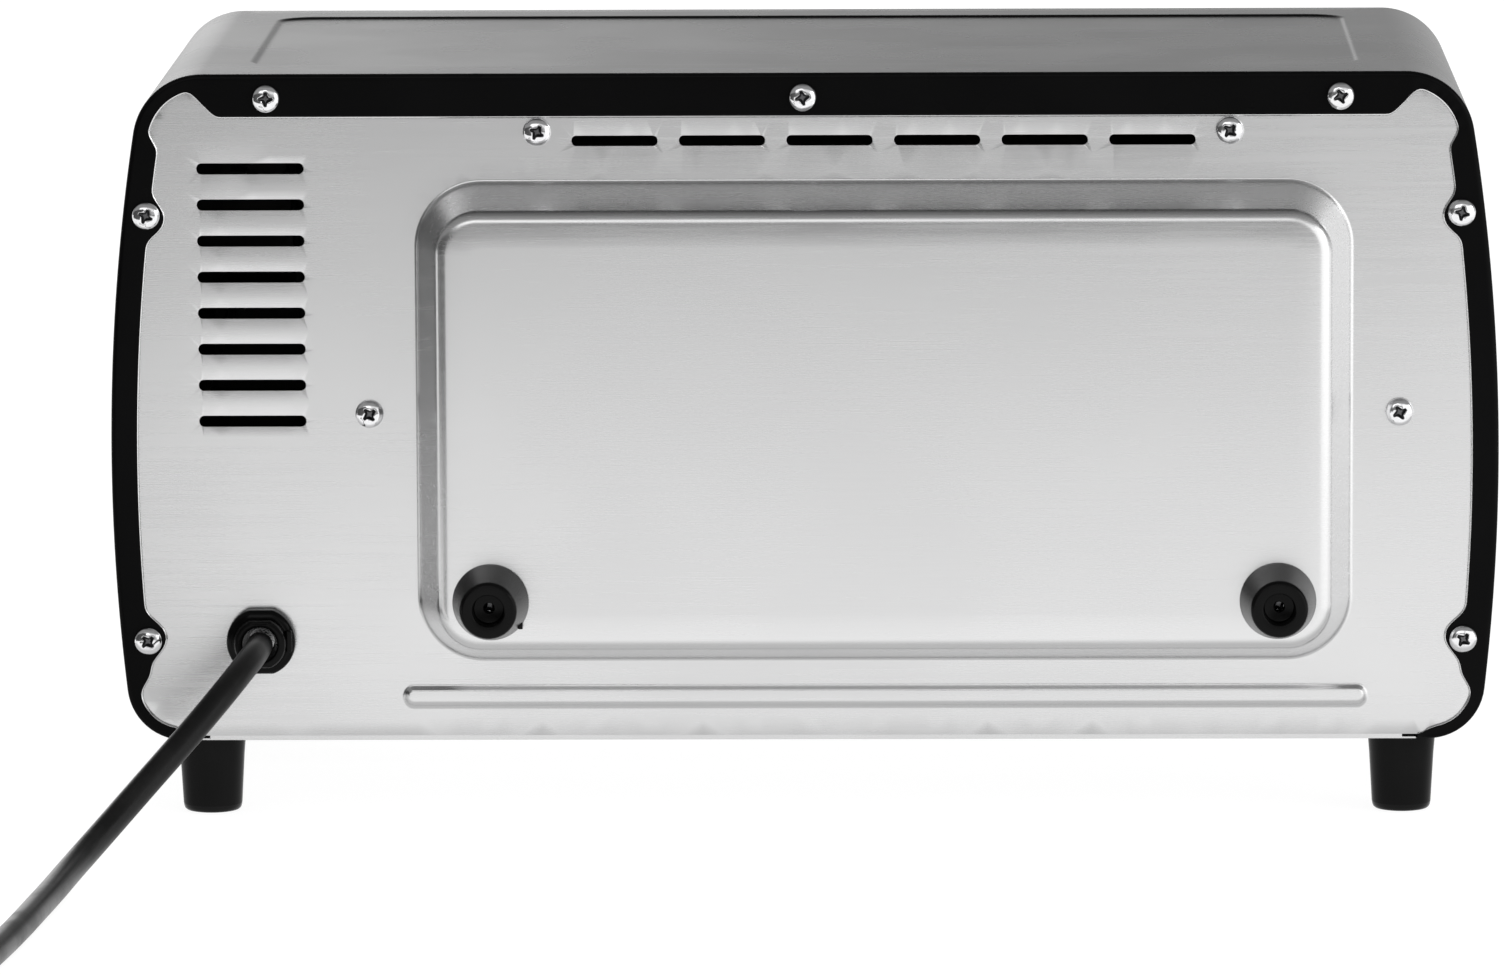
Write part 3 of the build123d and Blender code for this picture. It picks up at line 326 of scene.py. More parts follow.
    def slab(self, loop: Callable[[float], Sequence[Flat]], place: Callable[[float], Placer], start: float,
             end: float, edge: float, steps: int = 3) -> None:
        """Closed plate with round edges.

        Args:
            loop: Gives the plate's edge moved inwards by a distance.
            place: Gives the placer of a height.
            start: First height.
            end: Last height.
            edge: Radius of the round edges.
            steps: Pieces in each round edge.
        """
        way = 1 if end > start else -1
        turns = [QUARTER * i / steps for i in range(steps + 1)]
        rows = [(edge * (1 - math.sin(t)), start + way * edge * (1 - math.cos(t))) for t in turns]
        rows += [(edge * (1 - math.sin(t)), end - way * edge * (1 - math.cos(t))) for t in reversed(turns)]
        self.skin([[place(height)(*p) for p in loop(inset)] for inset, height in rows])
        for inset, height in (rows[0], rows[-1]):
            self.fill([loop(inset)], place(height))

    def block(self, low: Point, high: Point, edge: float) -> None:
        """Box with round edges between two corners.

        Args:
            low: Lowest corner.
            high: Highest corner.
            edge: Radius of the round edges.
        """
        middle = ((low[0] + high[0]) / 2, (low[2] + high[2]) / 2)
        wide, tall = high[0] - low[0], high[2] - low[2]

        def loop(inset: float) -> list[Flat]:
            """The box's outline moved inwards."""
            size = (wide - 2 * inset, tall - 2 * inset)
            return rounded_loop(middle, size, max(edge - inset, 0.02), 3)

        self.slab(loop, facing, low[1], high[1], edge)

    def mesh(self, name: str, inside: Vector | None = None, sharp: float = 40.0) -> bpy.types.Mesh:
        """Ends the drawing.

        Args:
            name: Name of the mesh.
            inside: A point, in millimetres, that an open sheet's faces look away from.
            sharp: Edges that turn more than this many degrees stay sharp.

        Returns:
            The mesh in metres.
        """
        bmesh.ops.remove_doubles(self.bm, verts=self.bm.verts, dist=MERGE)
        bmesh.ops.recalc_face_normals(self.bm, faces=self.bm.faces)
        if inside is not None:
            away = sum(f.normal.dot(f.calc_center_median() - inside) * f.calc_area() for f in self.bm.faces)
            if away < 0:
                bmesh.ops.reverse_faces(self.bm, faces=self.bm.faces)
        bmesh.ops.scale(self.bm, vec=(MM, MM, MM), verts=self.bm.verts)
        made = bpy.data.meshes.new(name)
        self.bm.to_mesh(made)
        self.bm.free()
        made.set_sharp_from_angle(angle=math.radians(sharp))
        return made


# ================================================================ node work
class Graph:
    """Adds nodes to one node tree and joins them."""

    def __init__(self, tree: bpy.types.NodeTree) -> None:
        """Keeps the tree."""
        self.tree = tree

    def add(self, kind: str, feeds: dict[str | int, object] | None = None,
            **settings: object) -> bpy.types.Node:
        """Adds a node.

        Args:
            kind: Node type.
            feeds: Input name or index, and a plain value or another node's output.
            settings: Properties of the node.

        Returns:
            The node.
        """
        node = self.tree.nodes.new(kind)
        for key, value in settings.items():
            setattr(node, key, value)
        for key, value in (feeds or {}).items():
            self.feed(node.inputs[key], value)
        return node

    def feed(self, socket: bpy.types.NodeSocket, value: object) -> None:
        """Joins an output to a socket, or sets the socket's plain value.

        Args:
            socket: The socket.
            value: Another node's output, a plain value, or None to leave it.
        """
        if isinstance(value, bpy.types.NodeSocket):
            self.tree.links.new(value, socket)
        elif value is not None:
            socket.default_value = value

    def math(self, operation: str, first: object, second: object = 0.0, clamp: bool = False) -> object:
        """Adds a Math node and returns its output."""
        feeds = {0: first, 1: second}
        return self.add("ShaderNodeMath", feeds, operation=operation, use_clamp=clamp).outputs[0]

    def noise(self, where: object, scale: object, detail: float = 3.0, rough: float = 0.55) -> object:
        """Adds a Noise node and returns its factor."""
        feeds = {"Vector": where, "Scale": scale, "Detail": detail, "Roughness": rough}
        return self.add("ShaderNodeTexNoise", feeds).outputs["Fac"]

    def stretch(self, where: object, by: object) -> object:
        """Adds a Vector Math node that scales each axis and returns its vector."""
        return self.add("ShaderNodeVectorMath", {0: where, 1: by}, operation="MULTIPLY").outputs[0]

    def spread(self, value: object, low: object, high: object, least: object = 0.0,
               most: object = 1.0) -> object:
        """Adds a clamped Map Range node and returns its result."""
        feeds = {"Value": value, "From Min": low, "From Max": high, "To Min": least, "To Max": most}
        return self.add("ShaderNodeMapRange", feeds).outputs["Result"]

    def blend(self, share: object, first: object, second: object, kind: str = "MIX") -> object:
        """Adds a colour Mix node and returns its result.

        Args:
            share: How much of the second colour.
            first: First colour.
            second: Second colour.
            kind: How the two are mixed.

        Returns:
            The result socket.
        """
        node = self.add("ShaderNodeMix", data_type="RGBA", blend_type=kind)
        self.feed(node.inputs[0], share)
        self.feed(node.inputs[6], first)
        self.feed(node.inputs[7], second)
        return node.outputs[2]

    def position(self) -> object:
        """Adds a coordinate node and returns the place in the piece's own frame."""
        return self.add("ShaderNodeTexCoord").outputs["Object"]


class Socket(Enum):
    """Kinds of socket that the shared effects use."""

    NUMBER = "NodeSocketFloat"
    VECTOR = "NodeSocketVector"


class Effect:
    """A shared surface effect: a shader node group with named inputs and outputs."""

    def __init__(self, name: str, inputs: dict[str, tuple[Socket, object]], outputs: Sequence[str],
                 wire: Callable[[Graph, object, object], None]) -> None:
        """Builds the group.

        Args:
            name: Name of the group.
            inputs: Name, kind and default of each input.
            outputs: Names of the value outputs.
            wire: Adds the inner nodes between the group's two ends.
        """
        self.tree = bpy.data.node_groups.new(name, "ShaderNodeTree")
        for label, (kind, default) in inputs.items():
            socket = self.tree.interface.new_socket(label, in_out="INPUT", socket_type=kind.value)
            socket.default_value = default
        for label in outputs:
            self.tree.interface.new_socket(label, in_out="OUTPUT", socket_type=Socket.NUMBER.value)
        graph = Graph(self.tree)
        wire(graph, graph.add("NodeGroupInput").outputs, graph.add("NodeGroupOutput").inputs)

    def use(self, graph: Graph, **values: object) -> object:
        """Places the group in a material.

        Args:
            graph: The material's graph.
            values: Input values; an underscore in a name stands for a blank.

        Returns:
            The group node's outputs.
        """
        node = graph.add("ShaderNodeGroup", node_tree=self.tree)
        for key, value in values.items():
            graph.feed(node.inputs[key.replace("_", " ")], value)
        return node.outputs


def wire_brushed(g: Graph, given: object, out: object) -> None:
    """Long fine scratches: a height and a tone.

    Args:
        g: The group's graph.
        given: The group's inputs.
        out: What the group puts out.
    """
    fine = g.noise(g.stretch(given["Position"], given["Stretch"]), 1.0, 4.0, 0.7)
    coarse = g.noise(g.stretch(given["Position"], given["Stretch"]), 0.23, 2.0, 0.5)
    both = g.math("ADD", g.math("MULTIPLY", fine, 0.6), g.math("MULTIPLY", coarse, 0.4))
    g.feed(out["Height"], both)
    g.feed(out["Tone"], g.spread(both, 0.36, 0.64))


def wire_mottle(g: Graph, given: object, out: object) -> None:
    """Broad uneven patches: a mask that is soft, and a blotchy one.

    Args:
        g: The group's graph.
        given: The group's inputs.
        out: What the group puts out.
    """
    soft = g.noise(given["Position"], given["Scale"], 2.0, 0.5)
    close = g.noise(given["Position"], g.math("MULTIPLY", given["Scale"], 6.0))
    bent = g.math("ADD", soft, g.math("MULTIPLY", close, 0.25))
    g.feed(out["Soft"], g.spread(soft, 0.3, 0.7))
    g.feed(out["Blotch"], g.spread(bent, 0.52, 0.76))


def wire_peel(g: Graph, given: object, out: object) -> None:
    """Orange-peel of sprayed paint and moulded skins: a height.

    Args:
        g: The group's graph.
        given: The group's inputs.
        out: What the group puts out.
    """
    wide = g.noise(given["Position"], given["Scale"], 1.5, 0.4)
    tight = g.noise(given["Position"], g.math("MULTIPLY", given["Scale"], 3.1), 1.0, 0.5)
    g.feed(out["Height"], g.math("ADD", wide, g.math("MULTIPLY", tight, 0.3)))


def wire_wear(g: Graph, given: object, out: object) -> None:
    """Rubbed edges: a mask that is 1 on the sharpest convex places.

    Args:
        g: The group's graph.
        given: The group's inputs.
        out: What the group puts out.
    """
    ridge = g.add("ShaderNodeNewGeometry").outputs["Pointiness"]
    broken = g.noise(given["Position"], 260.0, 4.0, 0.65)
    rise = g.math("ADD", ridge, g.math("MULTIPLY", g.math("SUBTRACT", broken, 0.5), 0.06))
    mask = g.spread(rise, 0.52, 0.58)
    g.feed(out["Mask"], g.math("MULTIPLY", mask, given["Amount"]))


def wire_dust(g: Graph, given: object, out: object) -> None:
    """Fine dust and specks that lie on faces turned upwards: a mask.

    Args:
        g: The group's graph.
        given: The group's inputs.
        out: What the group puts out.
    """
    up = g.add("ShaderNodeSeparateXYZ", {0: g.add("ShaderNodeNewGeometry").outputs["Normal"]}).outputs["Z"]
    film = g.spread(g.noise(given["Position"], 38.0, 5.0, 0.7), 0.42, 0.72)
    specks = g.spread(g.noise(given["Position"], 1900.0, 1.0, 0.5), 0.74, 0.8)
    lying = g.spread(up, -0.2, 0.9, 0.15, 1.0)
    both = g.math("ADD", g.math("MULTIPLY", film, 0.6), g.math("MULTIPLY", specks, 0.5), True)
    g.feed(out["Mask"], g.math("MULTIPLY", g.math("MULTIPLY", both, lying), given["Amount"]))


class Effects:
    """The shared effects, each built once."""

    def __init__(self) -> None:
        """Builds every node group."""
        place = {"Position": (Socket.VECTOR, (0.0, 0.0, 0.0))}
        scale = {"Scale": (Socket.NUMBER, 100.0)}
        amount = {"Amount": (Socket.NUMBER, 0.5)}
        self.brushed = Effect("brushed_grain", {**place, "Stretch": (Socket.VECTOR, (40.0, 900.0, 2600.0))},
                              ["Height", "Tone"], wire_brushed)
        self.mottle = Effect("surface_mottle", {**place, **scale}, ["Soft", "Blotch"], wire_mottle)
        self.peel = Effect("skin_peel", {**place, **scale}, ["Height"], wire_peel)
        self.wear = Effect("edge_wear", {**place, **amount}, ["Mask"], wire_wear)
        self.dust = Effect("settled_dust", {**place, **amount}, ["Mask"], wire_dust)


effects = Effects()


def grey(value: float) -> tuple[float, float, float, float]:
    """Neutral colour with full cover."""
    return (value, value, value, 1.0)


def full(colour: Colour) -> tuple[float, float, float, float]:
    """A colour with full cover."""
    return (*colour, 1.0)


DUST: Colour = (0.2, 0.195, 0.19)
PRIMER = 0.08


@dataclass(frozen=True)
class Finish:
    """What every finish shares."""

    name: str
    colour: Colour

    def dress(self, g: Graph, shader: bpy.types.Node) -> None:
        """Wires the finish into the shader; each kind of finish has its own way."""
        raise NotImplementedError

    @staticmethod
    def bump(g: Graph, shader: bpy.types.Node, height: object, strength: float, depth: float) -> None:
        """Turns a height into relief of a depth in metres."""
        node = g.add("ShaderNodeBump", {"Strength": strength, "Distance": depth, "Height": height})
        g.feed(shader.inputs["Normal"], node.outputs[0])

    def material(self) -> bpy.types.Material:
        """The finish's material, built when it is first asked for.

        Returns:
            The material.
        """
        made = bpy.data.materials.get(f"finish_{self.name}")
        if made:
            return made
        made = bpy.data.materials.new(f"finish_{self.name}")
        made.use_nodes = True
        made.diffuse_color = full(self.colour)
        made.node_tree.nodes.clear()
        g = Graph(made.node_tree)
        shader = g.add("ShaderNodeBsdfPrincipled")
        self.dress(g, shader)
        g.add("ShaderNodeOutputMaterial", {"Surface": shader.outputs[0]})
        return made


@dataclass(frozen=True)
class Metal(Finish):
    """Bare or plated metal with a directional grain."""

    roughness: float = 0.3
    stretch: Point = (40.0, 900.0, 2600.0)
    grain: float = 0.0006
    contrast: float = 0.06
    stain: Colour = (0.42, 0.42, 0.42)
    stained: float = 0.0

    def dress(self, g: Graph, shader: bpy.types.Node) -> None:
        """Wires grain, patches and stains.

        Args:
            g: The material's graph.
            shader: Its main shader.
        """
        where = g.position()
        lines = effects.brushed.use(g, Position=where, Stretch=self.stretch)
        patches = effects.mottle.use(g, Position=where, Scale=14.0)
        dim = tuple(c * (1 - self.contrast) for c in self.colour)
        tone = g.blend(lines["Tone"], full(dim), full(self.colour))
        tone = g.blend(g.math("MULTIPLY", patches["Blotch"], self.stained), tone, full(self.stain))
        g.feed(shader.inputs["Base Color"], tone)
        shader.inputs["Metallic"].default_value = 1.0
        rough = g.spread(patches["Soft"], 0.0, 1.0, self.roughness * 0.92, self.roughness * 1.12)
        g.feed(shader.inputs["Roughness"], g.math("ADD", rough, g.spread(lines["Tone"], 0, 1, -0.02, 0.03)))
        self.bump(g, shader, lines["Height"], 0.55, self.grain * MM * 10)


@dataclass(frozen=True)
class Paint(Finish):
    """Sprayed or stoved paint on sheet metal."""

    roughness: float = 0.3
    coat: float = 0.4
    gloss: float = 0.5
    peel: float = 0.004
    peel_scale: float = 420.0
    wear: float = 0.4
    dust: float = 0.1

    def dress(self, g: Graph, shader: bpy.types.Node) -> None:
        """Wires orange-peel, worn edges and dust.

        Args:
            g: The material's graph.
            shader: Its main shader.
        """
        where = g.position()
        patches = effects.mottle.use(g, Position=where, Scale=22.0)
        skin = effects.peel.use(g, Position=where, Scale=self.peel_scale)
        worn = effects.wear.use(g, Position=where, Amount=self.wear)["Mask"]
        dusty = effects.dust.use(g, Position=where, Amount=self.dust)["Mask"]
        lighter = tuple(min(1.0, c * 1.3 + 0.0005) for c in self.colour)
        tone = g.blend(patches["Soft"], full(self.colour), full(lighter))
        tone = g.blend(worn, tone, grey(PRIMER))
        tone = g.blend(dusty, tone, full(DUST))
        g.feed(shader.inputs["Base Color"], tone)
        rough = g.spread(patches["Soft"], 0, 1, self.roughness * 0.97, self.roughness * 1.05)
        g.feed(shader.inputs["Roughness"], g.math("ADD", rough, g.math("MULTIPLY", dusty, 0.5), True))
        shader.inputs["Specular IOR Level"].default_value = self.gloss
        shader.inputs["Coat Weight"].default_value = self.coat
        shader.inputs["Coat Roughness"].default_value = self.roughness * 0.5
        self.bump(g, shader, skin["Height"], 0.5, self.peel * MM)


@dataclass(frozen=True)
class Plastic(Finish):
    """Moulded plastic, rubber or ceramic with a fine skin."""

    roughness: float = 0.4
    grit: float = 0.012
    grit_scale: float = 1500.0
    gloss: float = 0.5
    wear: float = 0.25
    dust: float = 0.12

    def dress(self, g: Graph, shader: bpy.types.Node) -> None:
        """Wires the moulded skin, scuffed edges and dust.

        Args:
            g: The material's graph.
            shader: Its main shader.
        """
        where = g.position()
        patches = effects.mottle.use(g, Position=where, Scale=60.0)
        skin = effects.peel.use(g, Position=where, Scale=self.grit_scale)
        worn = effects.wear.use(g, Position=where, Amount=self.wear)["Mask"]
        dusty = effects.dust.use(g, Position=where, Amount=self.dust)["Mask"]
        lighter = tuple(min(1.0, c * 1.25 + 0.0005) for c in self.colour)
        scuffed = tuple(min(1.0, c * 1.6 + 0.02) for c in self.colour)
        tone = g.blend(patches["Soft"], full(self.colour), full(lighter))
        tone = g.blend(worn, tone, full(scuffed))
        tone = g.blend(dusty, tone, full(DUST))
        g.feed(shader.inputs["Base Color"], tone)
        rough = g.spread(patches["Blotch"], 0, 1, self.roughness * 0.88, self.roughness * 1.12)
        g.feed(shader.inputs["Roughness"], g.math("ADD", rough, g.math("MULTIPLY", dusty, 0.4), True))
        shader.inputs["Specular IOR Level"].default_value = self.gloss
        self.bump(g, shader, skin["Height"], 0.5, self.grit * MM)


@dataclass(frozen=True)
class Glass(Finish):
    """Clear or tinted glass with faint smears."""

    roughness: float = 0.03
    ior: float = 1.5

    def dress(self, g: Graph, shader: bpy.types.Node) -> None:
        """Wires smears into the roughness.

        Args:
            g: The material's graph.
            shader: Its main shader.
        """
        where = g.position()
        smears = effects.mottle.use(g, Position=where, Scale=30.0)
        shader.inputs["Base Color"].default_value = full(self.colour)
        shader.inputs["Metallic"].default_value = 0.0
        shader.inputs["Transmission Weight"].default_value = 1.0
        shader.inputs["IOR"].default_value = self.ior
        rough = g.spread(smears["Blotch"], 0, 1, self.roughness, self.roughness + 0.05)
        g.feed(shader.inputs["Roughness"], rough)


COVER_PAINT = Paint("cover_paint", (0.0015, 0.0015, 0.0016), roughness=0.27, coat=0.0, gloss=0.05,
                    peel=0.0012, dust=0.01, wear=0.05)
DOOR_ENAMEL = Paint("door_enamel", (0.012, 0.012, 0.013), roughness=0.22, coat=0.6, peel=0.003)
PANEL_STEEL = Metal("panel_steel", (0.71, 0.71, 0.712), roughness=0.26, stretch=(60.0, 900.0, 3800.0),
                    grain=0.0001, contrast=0.03)
RAW_EDGE = Metal("raw_edge", (0.8, 0.8, 0.8), roughness=0.25, stretch=(900.0, 900.0, 900.0))
CHAMBER_STEEL = Metal("chamber_steel", (0.5, 0.5, 0.5), roughness=0.38, stretch=(300.0, 60.0, 900.0),
                      stained=0.5, stain=(0.2, 0.16, 0.12))
CHROME = Metal("screw_chrome", (0.82, 0.82, 0.83), roughness=0.1, stretch=(2500.0, 2500.0, 2500.0),
               contrast=0.1)
# Dark steel for the screws' driver recesses: painted shade inside the recess; the real recess is the same
# plated metal as the head.
RECESS_PAINTED_SHADE = Metal("recess_painted_shade", (0.16, 0.16, 0.165), roughness=0.3, stretch=(2500.0, 2500.0, 2500.0),
                     contrast=0.3)
BRIGHT_CHROME = Metal("bright_chrome", (0.8, 0.8, 0.81), roughness=0.08, stretch=(60.0, 1800.0, 1800.0),
                      contrast=0.03)
PIN_BRASS = Metal("pin_brass", (0.75, 0.6, 0.3), roughness=0.22, stretch=(1400.0, 200.0, 1400.0))
HEATER_STEEL = Metal("heater_steel", (0.16, 0.15, 0.15), roughness=0.5, stretch=(120.0, 900.0, 900.0),
                     stained=0.6, stain=(0.08, 0.06, 0.05))
FASCIA_PLASTIC = Plastic("fascia_plastic", (0.008, 0.008, 0.0085), roughness=0.32)
KNOB_PLASTIC = Plastic("knob_plastic", (0.016, 0.016, 0.017), roughness=0.28, grit=0.008)
BUMPER_PLASTIC = Plastic("bumper_plastic", (0.0015, 0.0015, 0.0015), roughness=0.22, grit=0.006, gloss=0.1,
                         wear=0.03, dust=0.01)
FOOT_PLASTIC = Plastic("foot_plastic", (0.003, 0.003, 0.003), roughness=0.2, grit=0.02, grit_scale=700.0,
                       gloss=0.12, wear=0.05, dust=0.015)
CORD_RUBBER = Plastic("cord_rubber", (0.004, 0.004, 0.004), roughness=0.36, grit=0.02, grit_scale=900.0,
                      gloss=0.2, wear=0.0, dust=0.04)
TIE_PLASTIC = Plastic("tie_plastic", (0.02, 0.02, 0.02), roughness=0.35)
SWITCH_PLASTIC = Plastic("switch_plastic", (0.02, 0.018, 0.016), roughness=0.5)
WIRE_SLEEVE = Plastic("wire_sleeve", (0.03, 0.03, 0.03), roughness=0.7, grit=0.05, grit_scale=2600.0)
CERAMIC = Plastic("ceramic", (0.82, 0.79, 0.72), roughness=0.55, grit=0.02)
PRINT_WHITE = Plastic("dial_print", (0.75, 0.75, 0.74), roughness=0.5, grit=0.004, dust=0.0)
WINDOW_GLASS = Glass("window_glass", (0.86, 0.87, 0.86))
LENS_RED = Glass("lens_red", (0.7, 0.03, 0.02), roughness=0.08)

SLOT_OF = {"cover_paint": COVER_PAINT, "door_enamel": DOOR_ENAMEL, "bare_steel": PANEL_STEEL,
           "chamber_steel": CHAMBER_STEEL, "zinc_screw": CHROME, "bright_chrome": BRIGHT_CHROME,
           "fascia_plastic": FASCIA_PLASTIC, "knob_plastic": KNOB_PLASTIC, "foot_plastic": FOOT_PLASTIC,
           "cord_rubber": CORD_RUBBER, "tie_plastic": TIE_PLASTIC, "pin_brass": PIN_BRASS,
           "window_glass": WINDOW_GLASS, "lens_red": LENS_RED, "ceramic": CERAMIC,
           "switch_plastic": SWITCH_PLASTIC, "wire_sleeve": WIRE_SLEEVE, "heater_metal": HEATER_STEEL}


def place_piece(name: str, mesh: bpy.types.Mesh, finishes: Sequence[Finish], body: str, nodes: Sequence[str],
                sheet: float = 0.0, edge: float = 0.0) -> bpy.types.Object:
    """Puts a mesh in the scene as a piece that stands for CAD nodes.

    Args:
        name: Name of the piece.
        mesh: Its mesh, in metres.
        finishes: Its finishes, in the order of the mesh's face slots.
        body: The CAD body that it rides on.
        nodes: The CAD nodes that it stands for.
        sheet: Thickness in millimetres that an open sheet is given, inwards.
        edge: Width in millimetres of a bevel on sharp edges.

    Returns:
        The piece.
    """
    for finish in finishes:
        mesh.materials.append(finish.material())
    piece = bpy.data.objects.new(name, mesh)
    bpy.context.scene.collection.objects.link(piece)
    if sheet:
        solid = piece.modifiers.new("thickness", "SOLIDIFY")
        solid.thickness = sheet * MM
        solid.offset = -1.0
        solid.use_even_offset = True
    soften_edges(piece, edge)
    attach(piece, body)
    if nodes:
        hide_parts(*nodes)
    stands_for = ", ".join(nodes) or "detail only"
    log.info("%s: %d faces, on body %s, for %s", name, len(mesh.polygons), body, stands_for)
    return piece


def soften_edges(piece: bpy.types.Object, edge: float) -> None:
    """Adds a small bevel, if any is asked for, and weighted normals.

    Args:
        piece: The piece.
        edge: Width of the bevel in millimetres, or 0 for none.
    """
    if edge:
        bevel = piece.modifiers.new("edges", "BEVEL")
        bevel.width = edge * MM
        bevel.segments = 2
        bevel.limit_method = "ANGLE"
        bevel.angle_limit = math.radians(BEVEL_ABOVE)
        bevel.use_clamp_overlap = True
        bevel.harden_normals = False
    weighted = piece.modifiers.new("normals", "WEIGHTED_NORMAL")
    weighted.keep_sharp = True


# ================================================================ studio
@dataclass(frozen=True)
class Ramp:
    """A level that changes evenly between two places along an axis of the surroundings."""

    axis: str
    start: float
    end: float
    first: float = 0.0
    last: float = 1.0


FRONT_SIDE = Ramp("Y", -0.75, -0.2, 1.0, 0.0)
FRONT_LEAN = Ramp("X", 0.0, 0.1, 0.98, 2.2)
LOW_BAND = Ramp("Z", 0.1, 0.5, 1.0, 0.0)
SIDE_PART = Ramp("X", -0.75, 0.1, 0.5, 0.0)
WALL_REAR = Ramp("Y", -0.3, 0.1, 0.1, 0.3)
WALL_FOOT = Ramp("Z", 0.05, 0.3, 0.5, 1.0)
WALL_HEAD = Ramp("Z", 0.86, 0.96, 1.0, 0.6)
BOX_FOOT = Ramp("Z", 0.2, 0.3)
BOX_HEAD = Ramp("Z", 0.44, 0.58, 1.0, 0.0)
BOX_START = Ramp("X", -0.14, 0.05, 0.35, 1.0)
BOX_END = Ramp("X", 0.4, 0.55, 1.0, 0.0)
BOX_REAR = Ramp("Y", 0.2, 0.4)


@dataclass(frozen=True)
class Card:
    """A card that only reflections see, with a brightness that changes along Y.

    The near and the far end of the change are each a Y and the brightness there.
    """

    name: str
    corners: tuple[Point, ...]
    near: Flat
    far: Flat

    def build(self) -> None:
        """Puts the card up."""
        draft = Draft()
        draft.face(draft.ring(tuple(c / MM for c in corner) for corner in self.corners))
        mesh = draft.mesh(self.name)
        paper = bpy.data.materials.new(self.name)
        paper.use_nodes = True
        paper.node_tree.nodes.clear()
        g = Graph(paper.node_tree)
        along = g.add("ShaderNodeSeparateXYZ", {0: g.position()}).outputs["Y"]
        level = g.spread(along, self.near[0], self.far[0], self.near[1], self.far[1])
        glow = g.add("ShaderNodeEmission", {"Strength": level})
        g.add("ShaderNodeOutputMaterial", {"Surface": glow.outputs[0]})
        mesh.materials.append(paper)
        sheet = bpy.data.objects.new(self.name, mesh)
        bpy.context.scene.collection.objects.link(sheet)
        sheet.visible_camera = sheet.visible_diffuse = False
        sheet.visible_shadow = sheet.visible_transmission = False


def lying_card(name: str, half: float, reach: Flat, near: Flat, far: Flat) -> Card:
    """A card that lies just over the floor.

    Args:
        name: Name of the card.
        half: Half its width in metres.
        reach: Its first and last Y.
        near: A Y and the brightness up to it.
        far: A Y and the brightness beyond it.

    Returns:
        The card.
    """
    z = 0.002
    start, end = reach
    return Card(name, ((-half, start, z), (half, start, z), (half, end, z), (-half, end, z)), near, far)


def standing_card(name: str, side: int, near: Flat, far: Flat) -> Card:
    """A card that stands slanting beside the rear.

    Args:
        name: Name of the card.
        side: 1 on the side of the lead, -1 on the other.
        near: A Y and the brightness up to it.
        far: A Y and the brightness beyond it.

    Returns:
        The card.
    """
    (inner_x, inner_y), (outer_x, outer_y), tall = (0.3, 0.69), (0.95, 0.2), 0.4
    corners = ((side * inner_x, inner_y, 0.0), (side * outer_x, outer_y, 0.0),
               (side * outer_x, outer_y, tall), (side * inner_x, inner_y, tall))
    return Card(name, corners, near, far)


